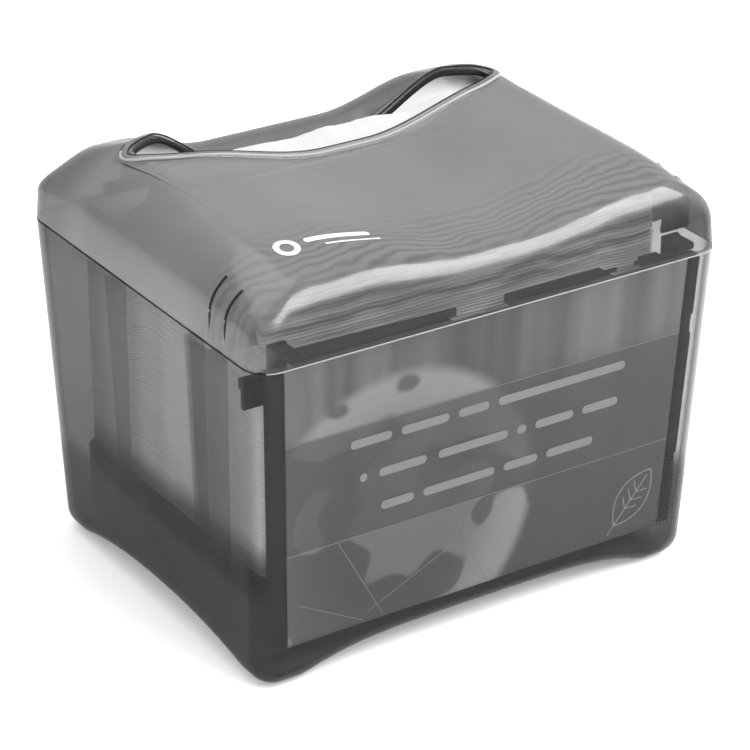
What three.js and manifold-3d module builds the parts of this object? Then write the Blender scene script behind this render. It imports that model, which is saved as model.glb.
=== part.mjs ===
// Tabletop napkin dispenser: a translucent tapered case on four feet, a hinged saddle-shaped lid
// with an oval dispensing slot, and a sprung platform that lifts a stack of folded napkins.
// Millimetres, +Z up, front towards -Y. The case is drawn about its own centre line and the
// finished group is moved so that the origin is at the middle of the whole footprint.
import * as THREE from 'three';
import { mergeVertices } from 'three/addons/utils/BufferGeometryUtils.js';
import Module from 'manifold-3d';

const wasm = await Module();
wasm.setup();

// ---------------------------------------------------------------- driving dimensions

const GAP = 0.3; // between pieces that touch
const WIDTH = 194; // case, across X at the seam
const DEPTH = 161.5; // case, front to back at the seam
const SEAM_Z = 127; // where lid and case meet
const TAPER_X = 4.7; // each side wall leans in by this much at the table
const TAPER_Y = 6.4; // front and rear walls lean in by this much
const CORNER_R = 10;
const CASE_WALL = 2.5;
const FOOT_R = 8; // rounding between walls and underside at the feet
const ARCH_R = 4; // and at the top of the arches

const FOOT_LIFT = 0.6; // case feet stand this high on their rubber pads
const ARCH_RISE = 9; // height of the arched edges between the feet
const ARCH_HALF_X = 74;
const ARCH_HALF_Y = 58;
const PAD_R = 4.5;
const PAD_T = 1.6;
const PAD_X = 79;
const PAD_Y = 61.5;

const LID_WALL = 2.2;
const LID_DRAFT = 0.6;
const SIDE_ROLL = 21; // width of the rounding at the lid's sides
const FRONT_ROLL = 13;
const REAR_ROLL = 9;
const FRONT_ROLL_Z = 131; // height at which each rounding starts
const REAR_ROLL_Z = 135;
const SIDE_ROLL_Z = 138;
const HUMP_Z = 160; // crest of the two humps beside the slot
const FRONT_SADDLE_Z = 153; // saddle in front of the slot
const REAR_SADDLE_Z = 139; // finger scoop behind the slot

const SLOT_HALF_X = 77;
const SLOT_HALF_Y = 18;
const SLOT_Y = 37;
const BEAD = 4.2; // width of the rolled rim around the slot

const HINGE_X = 50;
const HINGE_Y = DEPTH / 2 + 2.95;
const HINGE_Z = SEAM_Z;
const KNUCKLE_R = 2.6;
const PIN_R = 1.2;
const BORE_R = 1.6;
const ARM_HALF = 6.7;
const BRACKET_HALF = 13;
const BRACKET_LOW_Z = 113;
const LEAF_T = 1.7; // flat leaves of the hinges

const FLOOR_PLATE_Z = 14.6;
const FLOOR_PLATE_T = 2;
const SCREW_X = 55;
const SCREW_Y = 38;
const SCREW_R = 1.4;
const HOLE_R = 1.8;
const SPRING_X = 42;
const SPRING_R = 10.5;
const SPRING_WIRE = 1.6;
const SPRING_TURNS = 5;
const SPRING_TAPER = 2.2; // the top turn is this much smaller in radius
const SEAT_R = 13; // ring on the floor plate around each spring
const SEAT_T = 2;
const SEAT_H = 3;
const BOSS_R = 4;

const PLATFORM_Z = 34;
const PLATFORM_T = 2.4;
const PLATFORM_HALF_X = 86;
const PLATFORM_HALF_Y = 63;
const PLATFORM_Y = 3;
const SKIRT_H = 20;
const TAB_H = 12; // height of the tabs that run in the guide channels
const GUIDE_Y = -36; // centre of the guide channels
const GUIDE_HALF = 8.3;
const GUIDE_LOW_Z = 20;
const GUIDE_TOP_Z = 121;
const RIB_Y = 27;

const STACK_HALF_X = 83;
const STACK_FRONT_Y = -59;
const STACK_REAR_Y = 65;
const STACK_FRONT_Z = 145.2; // top of the stack at its front edge, under the lid
const STACK_CREST_Y = 13; // where the stack is highest, in front of the slot
const STACK_CREST_Z = 149.2;
const STACK_STEP_Y = 46; // behind the slot the stack drops to its rear height
const STACK_REAR_Z = 135;
const NAPKIN_HALF_X = 66; // the napkin that stands up into the slot
const NAPKIN_T = 1.2;
const NAPKIN_FOOT_Y = 22;
const NAPKIN_RIDGE_Y = 37;
const NAPKIN_RIDGE_Z = 152;

const SHEET_HALF_X = 84;
const SHEET_LOW_Z = 14.5;
const SHEET_TOP_Z = 124.5;
const SHEET_T = 0.6;
const SHEET_INSET = 1.3; // behind the inner face of the front wall
const RAIL_OUTER = 89.5; // upright rails at both ends of the sheet
const RAIL_INNER = SHEET_HALF_X + GAP;
const RAIL_DEPTH = 5;
const RAIL_LIP = 3; // reaches behind the sheet
const RAIL_BLOCKS = [[15.5, 37], [44, 93.5], [101, 124]];
const LEDGE_DEPTH = 9; // top rail behind the sheet
const LEDGE_LOW_Z = 121.5;
const LEDGE_TOP_Z = 125;
const LEDGE_HALF_X = 77;
const LEDGE_BLOCKS = [[-LEDGE_HALF_X, -16], [11, 52], [69, LEDGE_HALF_X]];
const POSTS_X = [-45, 42]; // short posts on the bottom rail

const HOOK_X = 82;
const HOOK_HALF = 3.6;
const HOOK_Y = -69.5;
const HOOK_T = 1.8;
const HOOK_LOW_Z = 112;
const HOOK_TOP_Z = 131;
const CATCH_LOW_Z = 108;
const CATCH_LIP_Z = 115;
const CATCH_TOP_Z = 119;

// ---------------------------------------------------------------- small maths

const clamp01 = (t) => Math.min(1, Math.max(0, t));
const lerp = (a, b, t) => a + (b - a) * t;
const radians = (degrees) => (degrees * Math.PI) / 180;

function smoothstep(from, to, value) {
  const t = clamp01((value - from) / (to - from));
  return t * t * (3 - 2 * t);
}

// ---------------------------------------------------------------- solids

function geometryOf(points, triangles) {
  const geometry = new THREE.BufferGeometry();
  geometry.setAttribute('position', new THREE.Float32BufferAttribute(points, 3));
  geometry.setIndex(triangles);
  return geometry;
}

// Skins a row of rings with the same number of points. A closed row bites its own tail, as a
// ring-shaped shell does; an open one ends in a point in the middle of its first and last ring.
function loft(rings, closed) {
  const count = rings[0].length;
  const points = rings.flat().flatMap((p) => [p.x, p.y, p.z]);
  const triangles = [];
  const bands = closed ? rings.length : rings.length - 1;
  for (let r = 0; r < bands; r += 1) {
    const low = r * count;
    const high = ((r + 1) % rings.length) * count;
    for (let i = 0; i < count; i += 1) {
      const j = (i + 1) % count;
      triangles.push(low + i, low + j, high + j, low + i, high + j, high + i);
    }
  }
  if (!closed) {
    for (const [ring, flip] of [[0, true], [rings.length - 1, false]]) {
      const middle = rings[ring].reduce((sum, p) => sum.add(p), new THREE.Vector3());
      middle.divideScalar(count);
      const centre = points.length / 3;
      points.push(middle.x, middle.y, middle.z);
      for (let i = 0; i < count; i += 1) {
        const a = ring * count + i;
        const b = ring * count + ((i + 1) % count);
        triangles.push(...(flip ? [centre, b, a] : [centre, a, b]));
      }
    }
  }
  return geometryOf(points, triangles);
}

function box(x0, x1, y0, y1, z0, z1) {
  const geometry = new THREE.BoxGeometry(x1 - x0, y1 - y0, z1 - z0);
  return geometry.translate((x0 + x1) / 2, (y0 + y1) / 2, (z0 + z1) / 2);
}

function cylinderZ(radius, z0, z1, x = 0, y = 0, sides = 16) {
  const geometry = new THREE.CylinderGeometry(radius, radius, z1 - z0, sides);
  return geometry.rotateX(Math.PI / 2).translate(x, y, (z0 + z1) / 2);
}

function cylinderX(radius, x0, x1, y, z, sides = 16) {
  const geometry = new THREE.CylinderGeometry(radius, radius, x1 - x0, sides);
  return geometry.rotateZ(Math.PI / 2).translate((x0 + x1) / 2, y, z);
}

function roundedPlate(halfX, halfY, radius, z0, z1, y = 0) {
  const shape = new THREE.Shape();
  shape.moveTo(radius - halfX, -halfY);
  shape.lineTo(halfX - radius, -halfY);
  shape.absarc(halfX - radius, radius - halfY, radius, -Math.PI / 2, 0);
  shape.absarc(halfX - radius, halfY - radius, radius, 0, Math.PI / 2);
  shape.absarc(radius - halfX, halfY - radius, radius, Math.PI / 2, Math.PI);
  shape.absarc(radius - halfX, radius - halfY, radius, Math.PI, 1.5 * Math.PI);
  const geometry = new THREE.ExtrudeGeometry(shape, {
    depth: z1 - z0,
    bevelEnabled: false,
    curveSegments: 4,
  });
  return geometry.translate(0, y, z0);
}

function solidOf(geometry) {
  const bare = geometry.clone();
  bare.deleteAttribute('normal');
  bare.deleteAttribute('uv');
  const merged = mergeVertices(bare, 1e-4);
  return new wasm.Manifold(
    new wasm.Mesh({
      numProp: 3,
      vertProperties: new Float32Array(merged.attributes.position.array),
      triVerts: new Uint32Array(merged.index.array),
    }),
  );
}

function geometryOfSolid(solid) {
  const mesh = solid.getMesh();
  return geometryOf(Array.from(mesh.vertProperties), Array.from(mesh.triVerts));
}

function join(...geometries) {
  return geometryOfSolid(geometries.map(solidOf).reduce((whole, part) => whole.add(part)));
}

function cut(geometry, ...tools) {
  const rest = tools.reduce((whole, tool) => whole.subtract(solidOf(tool)), solidOf(geometry));
  return geometryOfSolid(rest);
}

function common(a, b) {
  return geometryOfSolid(solidOf(a).intersect(solidOf(b)));
}

// ---------------------------------------------------------------- outlines and surfaces

const CORNER_STEPS = 4;
const LONG_STEPS = 10;
const SHORT_STEPS = 8;

// Rounded rectangle as points with their outward directions, anticlockwise from the front left.
function outline(halfX, front, rear, radius) {
  const corners = [
    [radius - halfX, front + radius, 180],
    [halfX - radius, front + radius, 270],
    [halfX - radius, rear - radius, 0],
    [radius - halfX, rear - radius, 90],
  ];
  const points = [];
  corners.forEach(([cx, cy, start], side) => {
    for (let k = 0; k <= CORNER_STEPS; k += 1) {
      const angle = radians(start + (90 * k) / CORNER_STEPS);
      const nx = Math.cos(angle);
      const ny = Math.sin(angle);
      points.push({ x: cx + radius * nx, y: cy + radius * ny, nx, ny });
    }
    const last = points[points.length - 1];
    const [nextX, nextY, nextStart] = corners[(side + 1) % 4];
    const endX = nextX + radius * Math.cos(radians(nextStart));
    const endY = nextY + radius * Math.sin(radians(nextStart));
    const steps = side % 2 === 0 ? LONG_STEPS : SHORT_STEPS;
    for (let k = 1; k < steps; k += 1) {
      const t = k / steps;
      points.push({ x: lerp(last.x, endX, t), y: lerp(last.y, endY, t), nx: last.nx, ny: last.ny });
    }
  });
  return points;
}

// Case outline at a height, drawn in by an inset.
function caseOutline(z, inset) {
  const lean = 1 - z / SEAM_Z;
  const halfX = WIDTH / 2 - TAPER_X * lean - inset;
  const halfY = DEPTH / 2 - TAPER_Y * lean - inset;
  return outline(halfX, -halfY, halfY, Math.max(2, CORNER_R - inset));
}

const innerHalfX = (z) => WIDTH / 2 - TAPER_X * (1 - z / SEAM_Z) - CASE_WALL;
const innerHalfY = (z) => DEPTH / 2 - TAPER_Y * (1 - z / SEAM_Z) - CASE_WALL;

// Underside of the case: a shallow vault that comes down to a flat pad at each corner.
function vault(x, y) {
  const alongX = 1 - Math.min(1, Math.abs(x) / ARCH_HALF_X) ** 4;
  const alongY = 1 - Math.min(1, Math.abs(y) / ARCH_HALF_Y) ** 2.2;
  return FOOT_LIFT + ARCH_RISE * (1 - (1 - alongX) * (1 - alongY));
}

// Top surface of the lid before its edges are rolled over.
function lidTop(x, y) {
  const side = Math.abs(x);
  const fall = 0.053 * Math.max(0, 20 - y);
  const frontRise = lerp(3.5, HUMP_Z - FRONT_SADDLE_Z, smoothstep(-78, -42, y));
  const front = FRONT_SADDLE_Z - fall + frontRise * smoothstep(10, 60, side);
  const scoop = REAR_SADDLE_Z + 3 * smoothstep(48, 70, y);
  const rearCrest = HUMP_Z - 0.37 * Math.max(0, y - 48);
  const rear = lerp(scoop, rearCrest, smoothstep(25, 64, side));
  const shoulder = lerp(1.5, 4, smoothstep(-40, 30, y)) * smoothstep(72, 92, side);
  return lerp(front, rear, smoothstep(26, 50, y)) - shoulder;
}

// Slot outline matched point by point to a case outline, so that the two can be skinned together.
function slotOutline(matching) {
  const points = matching.map(({ x, y }) => {
    const angle = Math.atan2(y / (DEPTH / 2), x / (WIDTH / 2));
    const across = Math.cos(angle);
    const along = Math.sin(angle);
    return {
      x: SLOT_HALF_X * Math.sign(across) * Math.abs(across) ** 0.91,
      y: SLOT_Y + SLOT_HALF_Y * Math.sign(along) * Math.abs(along) ** 1.2,
    };
  });
  return points.map((point, i) => {
    const before = points[(i + points.length - 1) % points.length];
    const after = points[(i + 1) % points.length];
    const length = Math.hypot(after.x - before.x, after.y - before.y);
    return { ...point, nx: (after.y - before.y) / length, ny: (before.x - after.x) / length };
  });
}

// ---------------------------------------------------------------- case shell

// Bottom edge of the case: its height follows the vault and its rounding shrinks up the arches.
function caseFoot() {
  return caseOutline(0, 0).map((p) => {
    const foot = vault(p.x - FOOT_R * p.nx, p.y - FOOT_R * p.ny);
    return { z: foot, radius: lerp(FOOT_R, ARCH_R, (foot - FOOT_LIFT) / ARCH_RISE) };
  });
}

function caseShellSkin() {
  const feet = caseFoot();
  const inset = (p, z, by) => new THREE.Vector3(p.x - by * p.nx, p.y - by * p.ny, z);
  const underside = (share, lift) =>
    caseOutline(0, 0).map((p, i) => {
      const rim = inset(p, 0, feet[i].radius);
      const x = rim.x * share;
      const y = rim.y * share;
      const z = lerp(vault(x, y), feet[i].z, smoothstep(0.75, 1, share));
      return new THREE.Vector3(x, y, z + lift);
    });
  const rolled = (degrees, wall) =>
    feet.map((foot, i) => {
      const radius = foot.radius - wall;
      const z = foot.z + wall + radius * (1 - Math.cos(radians(degrees)));
      const p = caseOutline(z, 0)[i];
      return inset(p, z, wall + radius * (1 - Math.sin(radians(degrees))));
    });
  const rim = (by) => caseOutline(SEAM_Z, 0).map((p) => inset(p, SEAM_Z - GAP / 2, by));
  const floors = [0.25, 0.5, 0.75, 0.9];
  return loft(
    [
      ...floors.map((share) => underside(share, 0)),
      ...[0, 30, 60, 90].map((turn) => rolled(turn, 0)),
      rim(0),
      rim(CASE_WALL),
      ...[90, 45, 0].map((turn) => rolled(turn, CASE_WALL)),
      ...floors.reverse().map((share) => underside(share, CASE_WALL)),
    ],
    false,
  );
}

function caseShell() {
  const corners = [-1, 1].flatMap((sx) => [-1, 1].map((sy) => [sx * SCREW_X, sy * SCREW_Y]));
  const floorZ = vault(SCREW_X, SCREW_Y);
  const bosses = corners.map(([x, y]) =>
    cylinderZ(BOSS_R, floorZ + 1.5, FLOOR_PLATE_Z - GAP, x, y, 12),
  );
  const holes = corners.map(([x, y]) =>
    cylinderZ(HOLE_R, floorZ + 0.9, FLOOR_PLATE_Z + 1, x, y, 12),
  );
  const pads = [-1, 1].flatMap((sx) =>
    [-1, 1].map((sy) =>
      cylinderZ(PAD_R + GAP, -1, PAD_T + GAP, sx * PAD_X, sy * PAD_Y, 20),
    ),
  );
  return cut(join(caseShellSkin(), ...bosses), ...holes, ...pads);
}

function rubberFoot() {
  return cylinderZ(PAD_R, 0, PAD_T, 0, 0, 20);
}

// ---------------------------------------------------------------- floor plate, screws, springs

function floorPlate() {
  const plate = roundedPlate(68, 50, 8, FLOOR_PLATE_Z, FLOOR_PLATE_Z + FLOOR_PLATE_T);
  const top = FLOOR_PLATE_Z + FLOOR_PLATE_T;
  const seats = [-1, 1].map((side) =>
    cut(
      cylinderZ(SEAT_R + SEAT_T, top - 0.5, top + SEAT_H, side * SPRING_X, 0, 20),
      cylinderZ(SEAT_R, top - 1, top + SEAT_H + 1, side * SPRING_X, 0, 20),
    ),
  );
  const holes = [-1, 1].flatMap((sx) =>
    [-1, 1].map((sy) =>
      cylinderZ(HOLE_R, FLOOR_PLATE_Z - 1, top + 1, sx * SCREW_X, sy * SCREW_Y, 12),
    ),
  );
  return cut(join(plate, ...seats), ...holes);
}

function floorScrew() {
  const seat = FLOOR_PLATE_Z + FLOOR_PLATE_T + GAP;
  const tip = vault(SCREW_X, SCREW_Y) + 1.3;
  const profile = [
    [0, tip],
    [SCREW_R, tip + 0.8],
    [SCREW_R, seat],
    [3.2, seat],
    [3.0, seat + 1.1],
    [1.8, seat + 1.8],
    [0, seat + 2],
  ].map(([r, z]) => new THREE.Vector2(r, z));
  const screw = new THREE.LatheGeometry(profile, 14).rotateX(Math.PI / 2);
  const slot = box(-2.2, 2.2, -0.4, 0.4, seat + 1.2, seat + 3);
  return cut(screw, slot);
}

class ConicalHelix extends THREE.Curve {
  constructor(low, high) {
    super();
    this.low = low;
    this.high = high;
  }

  getPoint(t, target = new THREE.Vector3()) {
    const angle = 2 * Math.PI * SPRING_TURNS * t;
    const radius = lerp(SPRING_R, SPRING_R - SPRING_TAPER, t);
    const z = lerp(this.low, this.high, t);
    return target.set(radius * Math.cos(angle), radius * Math.sin(angle), z);
  }
}

function spring() {
  const low = FLOOR_PLATE_Z + FLOOR_PLATE_T + GAP + SPRING_WIRE / 2;
  const high = PLATFORM_Z - GAP - SPRING_WIRE / 2;
  const section = new THREE.Shape();
  section.absarc(0, 0, SPRING_WIRE / 2, 0, 2 * Math.PI);
  return new THREE.ExtrudeGeometry(section, {
    extrudePath: new ConicalHelix(low + 0.2, high - 0.2),
    steps: SPRING_TURNS * 12,
    curveSegments: 3,
  });
}

// ---------------------------------------------------------------- platform and its guides

function platform() {
  const low = PLATFORM_Z - SKIRT_H;
  const plate = roundedPlate(
    PLATFORM_HALF_X, PLATFORM_HALF_Y, 7, PLATFORM_Z, PLATFORM_Z + PLATFORM_T, PLATFORM_Y,
  );
  const block = roundedPlate(
    PLATFORM_HALF_X, PLATFORM_HALF_Y, 7, low, PLATFORM_Z + 0.5, PLATFORM_Y,
  );
  const hollow = roundedPlate(
    PLATFORM_HALF_X - 2, PLATFORM_HALF_Y - 2, 5, low - 1, PLATFORM_Z, PLATFORM_Y,
  );
  const tabHalf = GUIDE_HALF - 1.6 - 0.7;
  const tabs = [-1, 1].map((side) => {
    const near = side * (PLATFORM_HALF_X - 1);
    const far = side * (innerHalfX(GUIDE_LOW_Z) - 1.9);
    return box(
      Math.min(near, far), Math.max(near, far),
      GUIDE_Y - tabHalf, GUIDE_Y + tabHalf,
      PLATFORM_Z - TAB_H, PLATFORM_Z,
    );
  });
  return join(plate, cut(block, hollow), ...tabs);
}

// A bar along the left inner wall: its back follows the leaning wall, its face is upright.
function wallBar(y0, y1, backInset, faceX) {
  const levels = [GUIDE_LOW_Z, GUIDE_TOP_Z];
  const rings = levels.map((z) => {
    const back = -(innerHalfX(z) - backInset);
    return [
      new THREE.Vector3(back, y0, z),
      new THREE.Vector3(faceX(z), y0, z),
      new THREE.Vector3(faceX(z), y1, z),
      new THREE.Vector3(back, y1, z),
    ];
  });
  return loft(rings, false);
}

const uprightFace = () => -(PLATFORM_HALF_X + 0.4);

function guideChannel() {
  const backFace = (z) => -(innerHalfX(z) - GAP - 1.2);
  return join(
    wallBar(GUIDE_Y - GUIDE_HALF, GUIDE_Y + GUIDE_HALF, GAP, backFace),
    wallBar(GUIDE_Y - GUIDE_HALF, GUIDE_Y - GUIDE_HALF + 1.5, GAP, uprightFace),
    wallBar(GUIDE_Y + GUIDE_HALF - 1.5, GUIDE_Y + GUIDE_HALF, GAP, uprightFace),
  );
}

function guideRib() {
  return wallBar(RIB_Y - 0.8, RIB_Y + 0.8, GAP, uprightFace);
}

// ---------------------------------------------------------------- napkins

// A piece of constant section along X, drawn as (y, z).
function alongX(section, halfX) {
  const geometry = new THREE.ExtrudeGeometry(section, {
    depth: 2 * halfX,
    bevelEnabled: false,
    curveSegments: 6,
  });
  return geometry.rotateX(Math.PI / 2).rotateZ(Math.PI / 2).translate(-halfX, 0, 0);
}

function napkinStack() {
  const low = PLATFORM_Z + PLATFORM_T + GAP;
  const side = new THREE.Shape();
  side.moveTo(STACK_FRONT_Y, low);
  side.lineTo(STACK_REAR_Y, low);
  side.lineTo(STACK_REAR_Y, STACK_REAR_Z - 1);
  side.quadraticCurveTo(STACK_REAR_Y, STACK_REAR_Z, STACK_REAR_Y - 3, STACK_REAR_Z);
  side.lineTo(STACK_STEP_Y, STACK_REAR_Z);
  side.bezierCurveTo(
    STACK_STEP_Y - 12, STACK_REAR_Z, STACK_CREST_Y + 17, STACK_CREST_Z, STACK_CREST_Y, STACK_CREST_Z,
  );
  side.lineTo(STACK_FRONT_Y + 6, STACK_FRONT_Z);
  side.quadraticCurveTo(STACK_FRONT_Y, STACK_FRONT_Z, STACK_FRONT_Y, STACK_FRONT_Z - 6);
  return alongX(side, STACK_HALF_X);
}

// The napkin that stands up into the slot: a bowed sheet over the step in the stack.
function topNapkin() {
  const foot = STACK_CREST_Z + GAP;
  const rise = lerp(NAPKIN_FOOT_Y, NAPKIN_RIDGE_Y, 0.6);
  const rear = STACK_STEP_Y + 2;
  const under = NAPKIN_RIDGE_Z - NAPKIN_T;
  const section = new THREE.Shape();
  section.moveTo(NAPKIN_FOOT_Y, foot);
  section.bezierCurveTo(rise - 2, foot, rise, under, NAPKIN_RIDGE_Y, under);
  section.lineTo(rear - NAPKIN_T, STACK_REAR_Z + GAP);
  section.lineTo(rear, STACK_REAR_Z + GAP);
  section.lineTo(NAPKIN_RIDGE_Y + NAPKIN_T, NAPKIN_RIDGE_Z);
  section.bezierCurveTo(rise, NAPKIN_RIDGE_Z, rise - 2, foot + NAPKIN_T, NAPKIN_FOOT_Y, foot + NAPKIN_T);
  return alongX(section, NAPKIN_HALF_X);
}

// ---------------------------------------------------------------- front insert

// Takes a piece drawn against an upright front wall (y is the depth behind the wall) and leans it
// and narrows it with the case.
function onFrontWall(geometry) {
  const position = geometry.attributes.position;
  for (let i = 0; i < position.count; i += 1) {
    const z = position.getZ(i);
    const share = innerHalfX(z) / innerHalfX(SEAM_Z);
    position.setXY(i, position.getX(i) * share, position.getY(i) - innerHalfY(z));
  }
  return geometry;
}

function insertSheet() {
  return onFrontWall(
    box(-SHEET_HALF_X, SHEET_HALF_X, SHEET_INSET, SHEET_INSET + SHEET_T, SHEET_LOW_Z, SHEET_TOP_Z),
  );
}

// Rails that hold the sheet: both sides and the bottom in full height, the top as a deep ledge.
// The rails are thicker in blocks, with thinner necks between them.
function insertFrame() {
  const behind = SHEET_INSET + SHEET_T + GAP;
  const back = SHEET_INSET + RAIL_DEPTH;
  const low = SHEET_LOW_Z + 1;
  const bars = [
    box(-RAIL_OUTER, RAIL_OUTER, behind, back, low, low + 6),
    box(-LEDGE_HALF_X, LEDGE_HALF_X, behind, behind + 2, LEDGE_LOW_Z, LEDGE_TOP_Z - 1),
  ];
  for (const side of [-1, 1]) {
    const across = (from, to) => [Math.min(side * from, side * to), Math.max(side * from, side * to)];
    bars.push(box(...across(RAIL_INNER - RAIL_LIP, RAIL_OUTER), behind, back, low, SHEET_TOP_Z));
    for (const [z0, z1] of RAIL_BLOCKS) {
      bars.push(box(...across(RAIL_INNER, RAIL_OUTER), SHEET_INSET, back, z0, z1));
    }
  }
  for (const [x0, x1] of LEDGE_BLOCKS) {
    bars.push(box(x0, x1, behind, behind + LEDGE_DEPTH, LEDGE_LOW_Z, LEDGE_TOP_Z));
  }
  const bridges = [-1, 1].map((side) => {
    const ends = [side * (LEDGE_HALF_X - 1), side * RAIL_INNER];
    return box(Math.min(...ends), Math.max(...ends), behind, behind + 2, LEDGE_LOW_Z, LEDGE_TOP_Z - 1);
  });
  const posts = POSTS_X.map((x) => box(x - 2, x + 2, behind, back + 1, low, low + 9));
  return onFrontWall(join(...bars, ...bridges, ...posts));
}

// ---------------------------------------------------------------- lid

function lidRings(thickness, turns, blends) {
  const rollStart = (p) => {
    const flat = p.ny < 0 ? FRONT_ROLL_Z : REAR_ROLL_Z;
    return lerp(flat, SIDE_ROLL_Z, p.nx * p.nx);
  };
  const edge = (share) =>
    outline(
      WIDTH / 2 - LID_DRAFT - SIDE_ROLL * share - thickness,
      -(DEPTH / 2 - LID_DRAFT - FRONT_ROLL * share - thickness),
      DEPTH / 2 - LID_DRAFT - REAR_ROLL * share - thickness,
      Math.max(2, CORNER_R - 7 * share - thickness),
    );
  const rolled = turns.map((turn) =>
    edge(1 - Math.cos(radians(turn))).map((p) => {
      const start = rollStart(p);
      const z = lerp(start, lidTop(p.x, p.y) - thickness, Math.sin(radians(turn)));
      return new THREE.Vector3(p.x, p.y, z);
    }),
  );
  const flatEdge = edge(1);
  const slot = slotOutline(outline(WIDTH / 2, -DEPTH / 2, DEPTH / 2, CORNER_R));
  const margin = thickness > 0 ? thickness : BEAD;
  const blended = blends.map((share) =>
    flatEdge.map((p, i) => {
      const x = lerp(p.x, slot[i].x + margin * slot[i].nx, share);
      const y = lerp(p.y, slot[i].y + margin * slot[i].ny, share);
      return new THREE.Vector3(x, y, lidTop(x, y) - thickness);
    }),
  );
  return [...rolled, ...blended];
}

function seamRing(inset) {
  const halfY = DEPTH / 2 - inset;
  return outline(WIDTH / 2 - inset, -halfY, halfY, CORNER_R - inset).map(
    (p) => new THREE.Vector3(p.x, p.y, SEAM_Z + GAP / 2),
  );
}

// Rolled rim around the slot, as distance out from the slot's edge and height over the lid.
const BEAD_PROFILE = [
  [3.4, 1.0],
  [2.2, 1.6],
  [0.9, 1.2],
  [0.1, 0.1],
  [0, -1.6],
  [0.8, -2.5],
];

function lidShellSkin() {
  const slot = slotOutline(outline(WIDTH / 2, -DEPTH / 2, DEPTH / 2, CORNER_R));
  const bead = BEAD_PROFILE.map(([out, rise]) =>
    slot.map((p) => {
      const x = p.x + out * p.nx;
      const y = p.y + out * p.ny;
      return new THREE.Vector3(x, y, lidTop(x, y) + rise);
    }),
  );
  const turns = [0, 20, 40, 60, 75, 90];
  const blends = [0.2, 0.4, 0.6, 0.8, 1];
  const outer = lidRings(0, turns, blends);
  const inner = lidRings(LID_WALL, turns, blends).reverse();
  return loft([seamRing(0), ...outer, ...bead, ...inner, seamRing(LID_WALL)], true);
}

// The lid's outer skin closed off under the slot and at the seam, to trim the gussets with.
function lidEnvelope() {
  const half = LID_WALL / 2;
  const rings = lidRings(half, [0, 20, 40, 60, 75, 90], [0.4, 0.75, 1]);
  return loft([seamRing(half), ...rings], false);
}

function lidShell() {
  const envelope = lidEnvelope();
  const gussets = [-1, 1].flatMap((side) =>
    [-51, -61].map((y) => {
      const wallX = side * (WIDTH / 2);
      const inX = side * (WIDTH / 2 - 11);
      const block = box(
        Math.min(wallX, inX), Math.max(wallX, inX), y, y + 1.6, SEAM_Z + GAP / 2, HUMP_Z,
      );
      return common(envelope, block);
    }),
  );
  return join(lidShellSkin(), ...gussets);
}

// ---------------------------------------------------------------- hinges and latches

function barrel(x0, x1) {
  return cylinderX(KNUCKLE_R, x0, x1, HINGE_Y, HINGE_Z, 18);
}

function hingeBracket() {
  const face = DEPTH / 2 + GAP;
  const plate = box(-BRACKET_HALF, BRACKET_HALF, face, face + LEAF_T, BRACKET_LOW_Z, HINGE_Z - 3.4);
  const ears = [-1, 1].flatMap((side) => {
    const x0 = Math.min(side * (ARM_HALF + 0.5), side * BRACKET_HALF);
    const x1 = Math.max(side * (ARM_HALF + 0.5), side * BRACKET_HALF);
    return [barrel(x0, x1), box(x0, x1, face, HINGE_Y + 1.2, HINGE_Z - 6, HINGE_Z - 1)];
  });
  const bore = cylinderX(BORE_R, -20, 20, HINGE_Y, HINGE_Z, 14);
  return cut(join(plate, ...ears), bore);
}

function hingeArm() {
  const face = DEPTH / 2 + GAP;
  const bore = cylinderX(BORE_R, -20, 20, HINGE_Y, HINGE_Z, 14);
  return cut(
    join(
      barrel(-ARM_HALF, ARM_HALF),
      box(-ARM_HALF, ARM_HALF, face, face + LEAF_T, HINGE_Z + 0.6, REAR_ROLL_Z - 0.4),
    ),
    bore,
  );
}

function hingePin() {
  const reach = BRACKET_HALF + 0.6;
  return cylinderX(PIN_R, -reach, reach, 0, 0, 14);
}

function latchHook() {
  const wallY = -(DEPTH / 2 - LID_WALL - LID_DRAFT - GAP);
  const legTop = FRONT_ROLL_Z - 0.5;
  return join(
    box(-HOOK_HALF, HOOK_HALF, HOOK_Y, HOOK_Y + HOOK_T, HOOK_LOW_Z, HOOK_TOP_Z),
    box(-HOOK_HALF, HOOK_HALF, wallY, HOOK_Y + 0.5, legTop - 2, legTop),
    box(-HOOK_HALF, HOOK_HALF, wallY, wallY + 1.6, SEAM_Z + 1, legTop),
    box(-HOOK_HALF, HOOK_HALF, HOOK_Y, HOOK_Y + 3, HOOK_LOW_Z, HOOK_LOW_Z + 2.2),
  );
}

function latchCatch() {
  const y0 = HOOK_Y + 3 + GAP;
  const wallX = innerHalfX(CATCH_LOW_Z) - GAP;
  return join(
    box(HOOK_X - HOOK_HALF, wallX, y0, y0 + 2, CATCH_LOW_Z, CATCH_TOP_Z),
    box(HOOK_X - HOOK_HALF, wallX, y0, y0 + 3.4, CATCH_LIP_Z, CATCH_TOP_Z),
  );
}

// ---------------------------------------------------------------- assembly

const FINISH = {
  smoke: { color: 0x6f7272, roughness: 0.2, metalness: 0 },
  smokeLid: { color: 0x858887, roughness: 0.2, metalness: 0 },
  dark: { color: 0x2b2c2d, roughness: 0.45, metalness: 0 },
  clear: { color: 0x9aa09e, roughness: 0.3, metalness: 0 },
  paper: { color: 0xe6e5e0, roughness: 0.95, metalness: 0 },
  rubber: { color: 0x1d1d1d, roughness: 0.85, metalness: 0 },
  steel: { color: 0xb8babc, roughness: 0.3, metalness: 1 },
};

const dispenser = new THREE.Group();

function add(parent, name, geometry, finish, x = 0, y = 0, z = 0) {
  const mesh = new THREE.Mesh(geometry, new THREE.MeshStandardMaterial(FINISH[finish]));
  mesh.name = name;
  mesh.position.set(x, y, z);
  parent.add(mesh);
}

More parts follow.
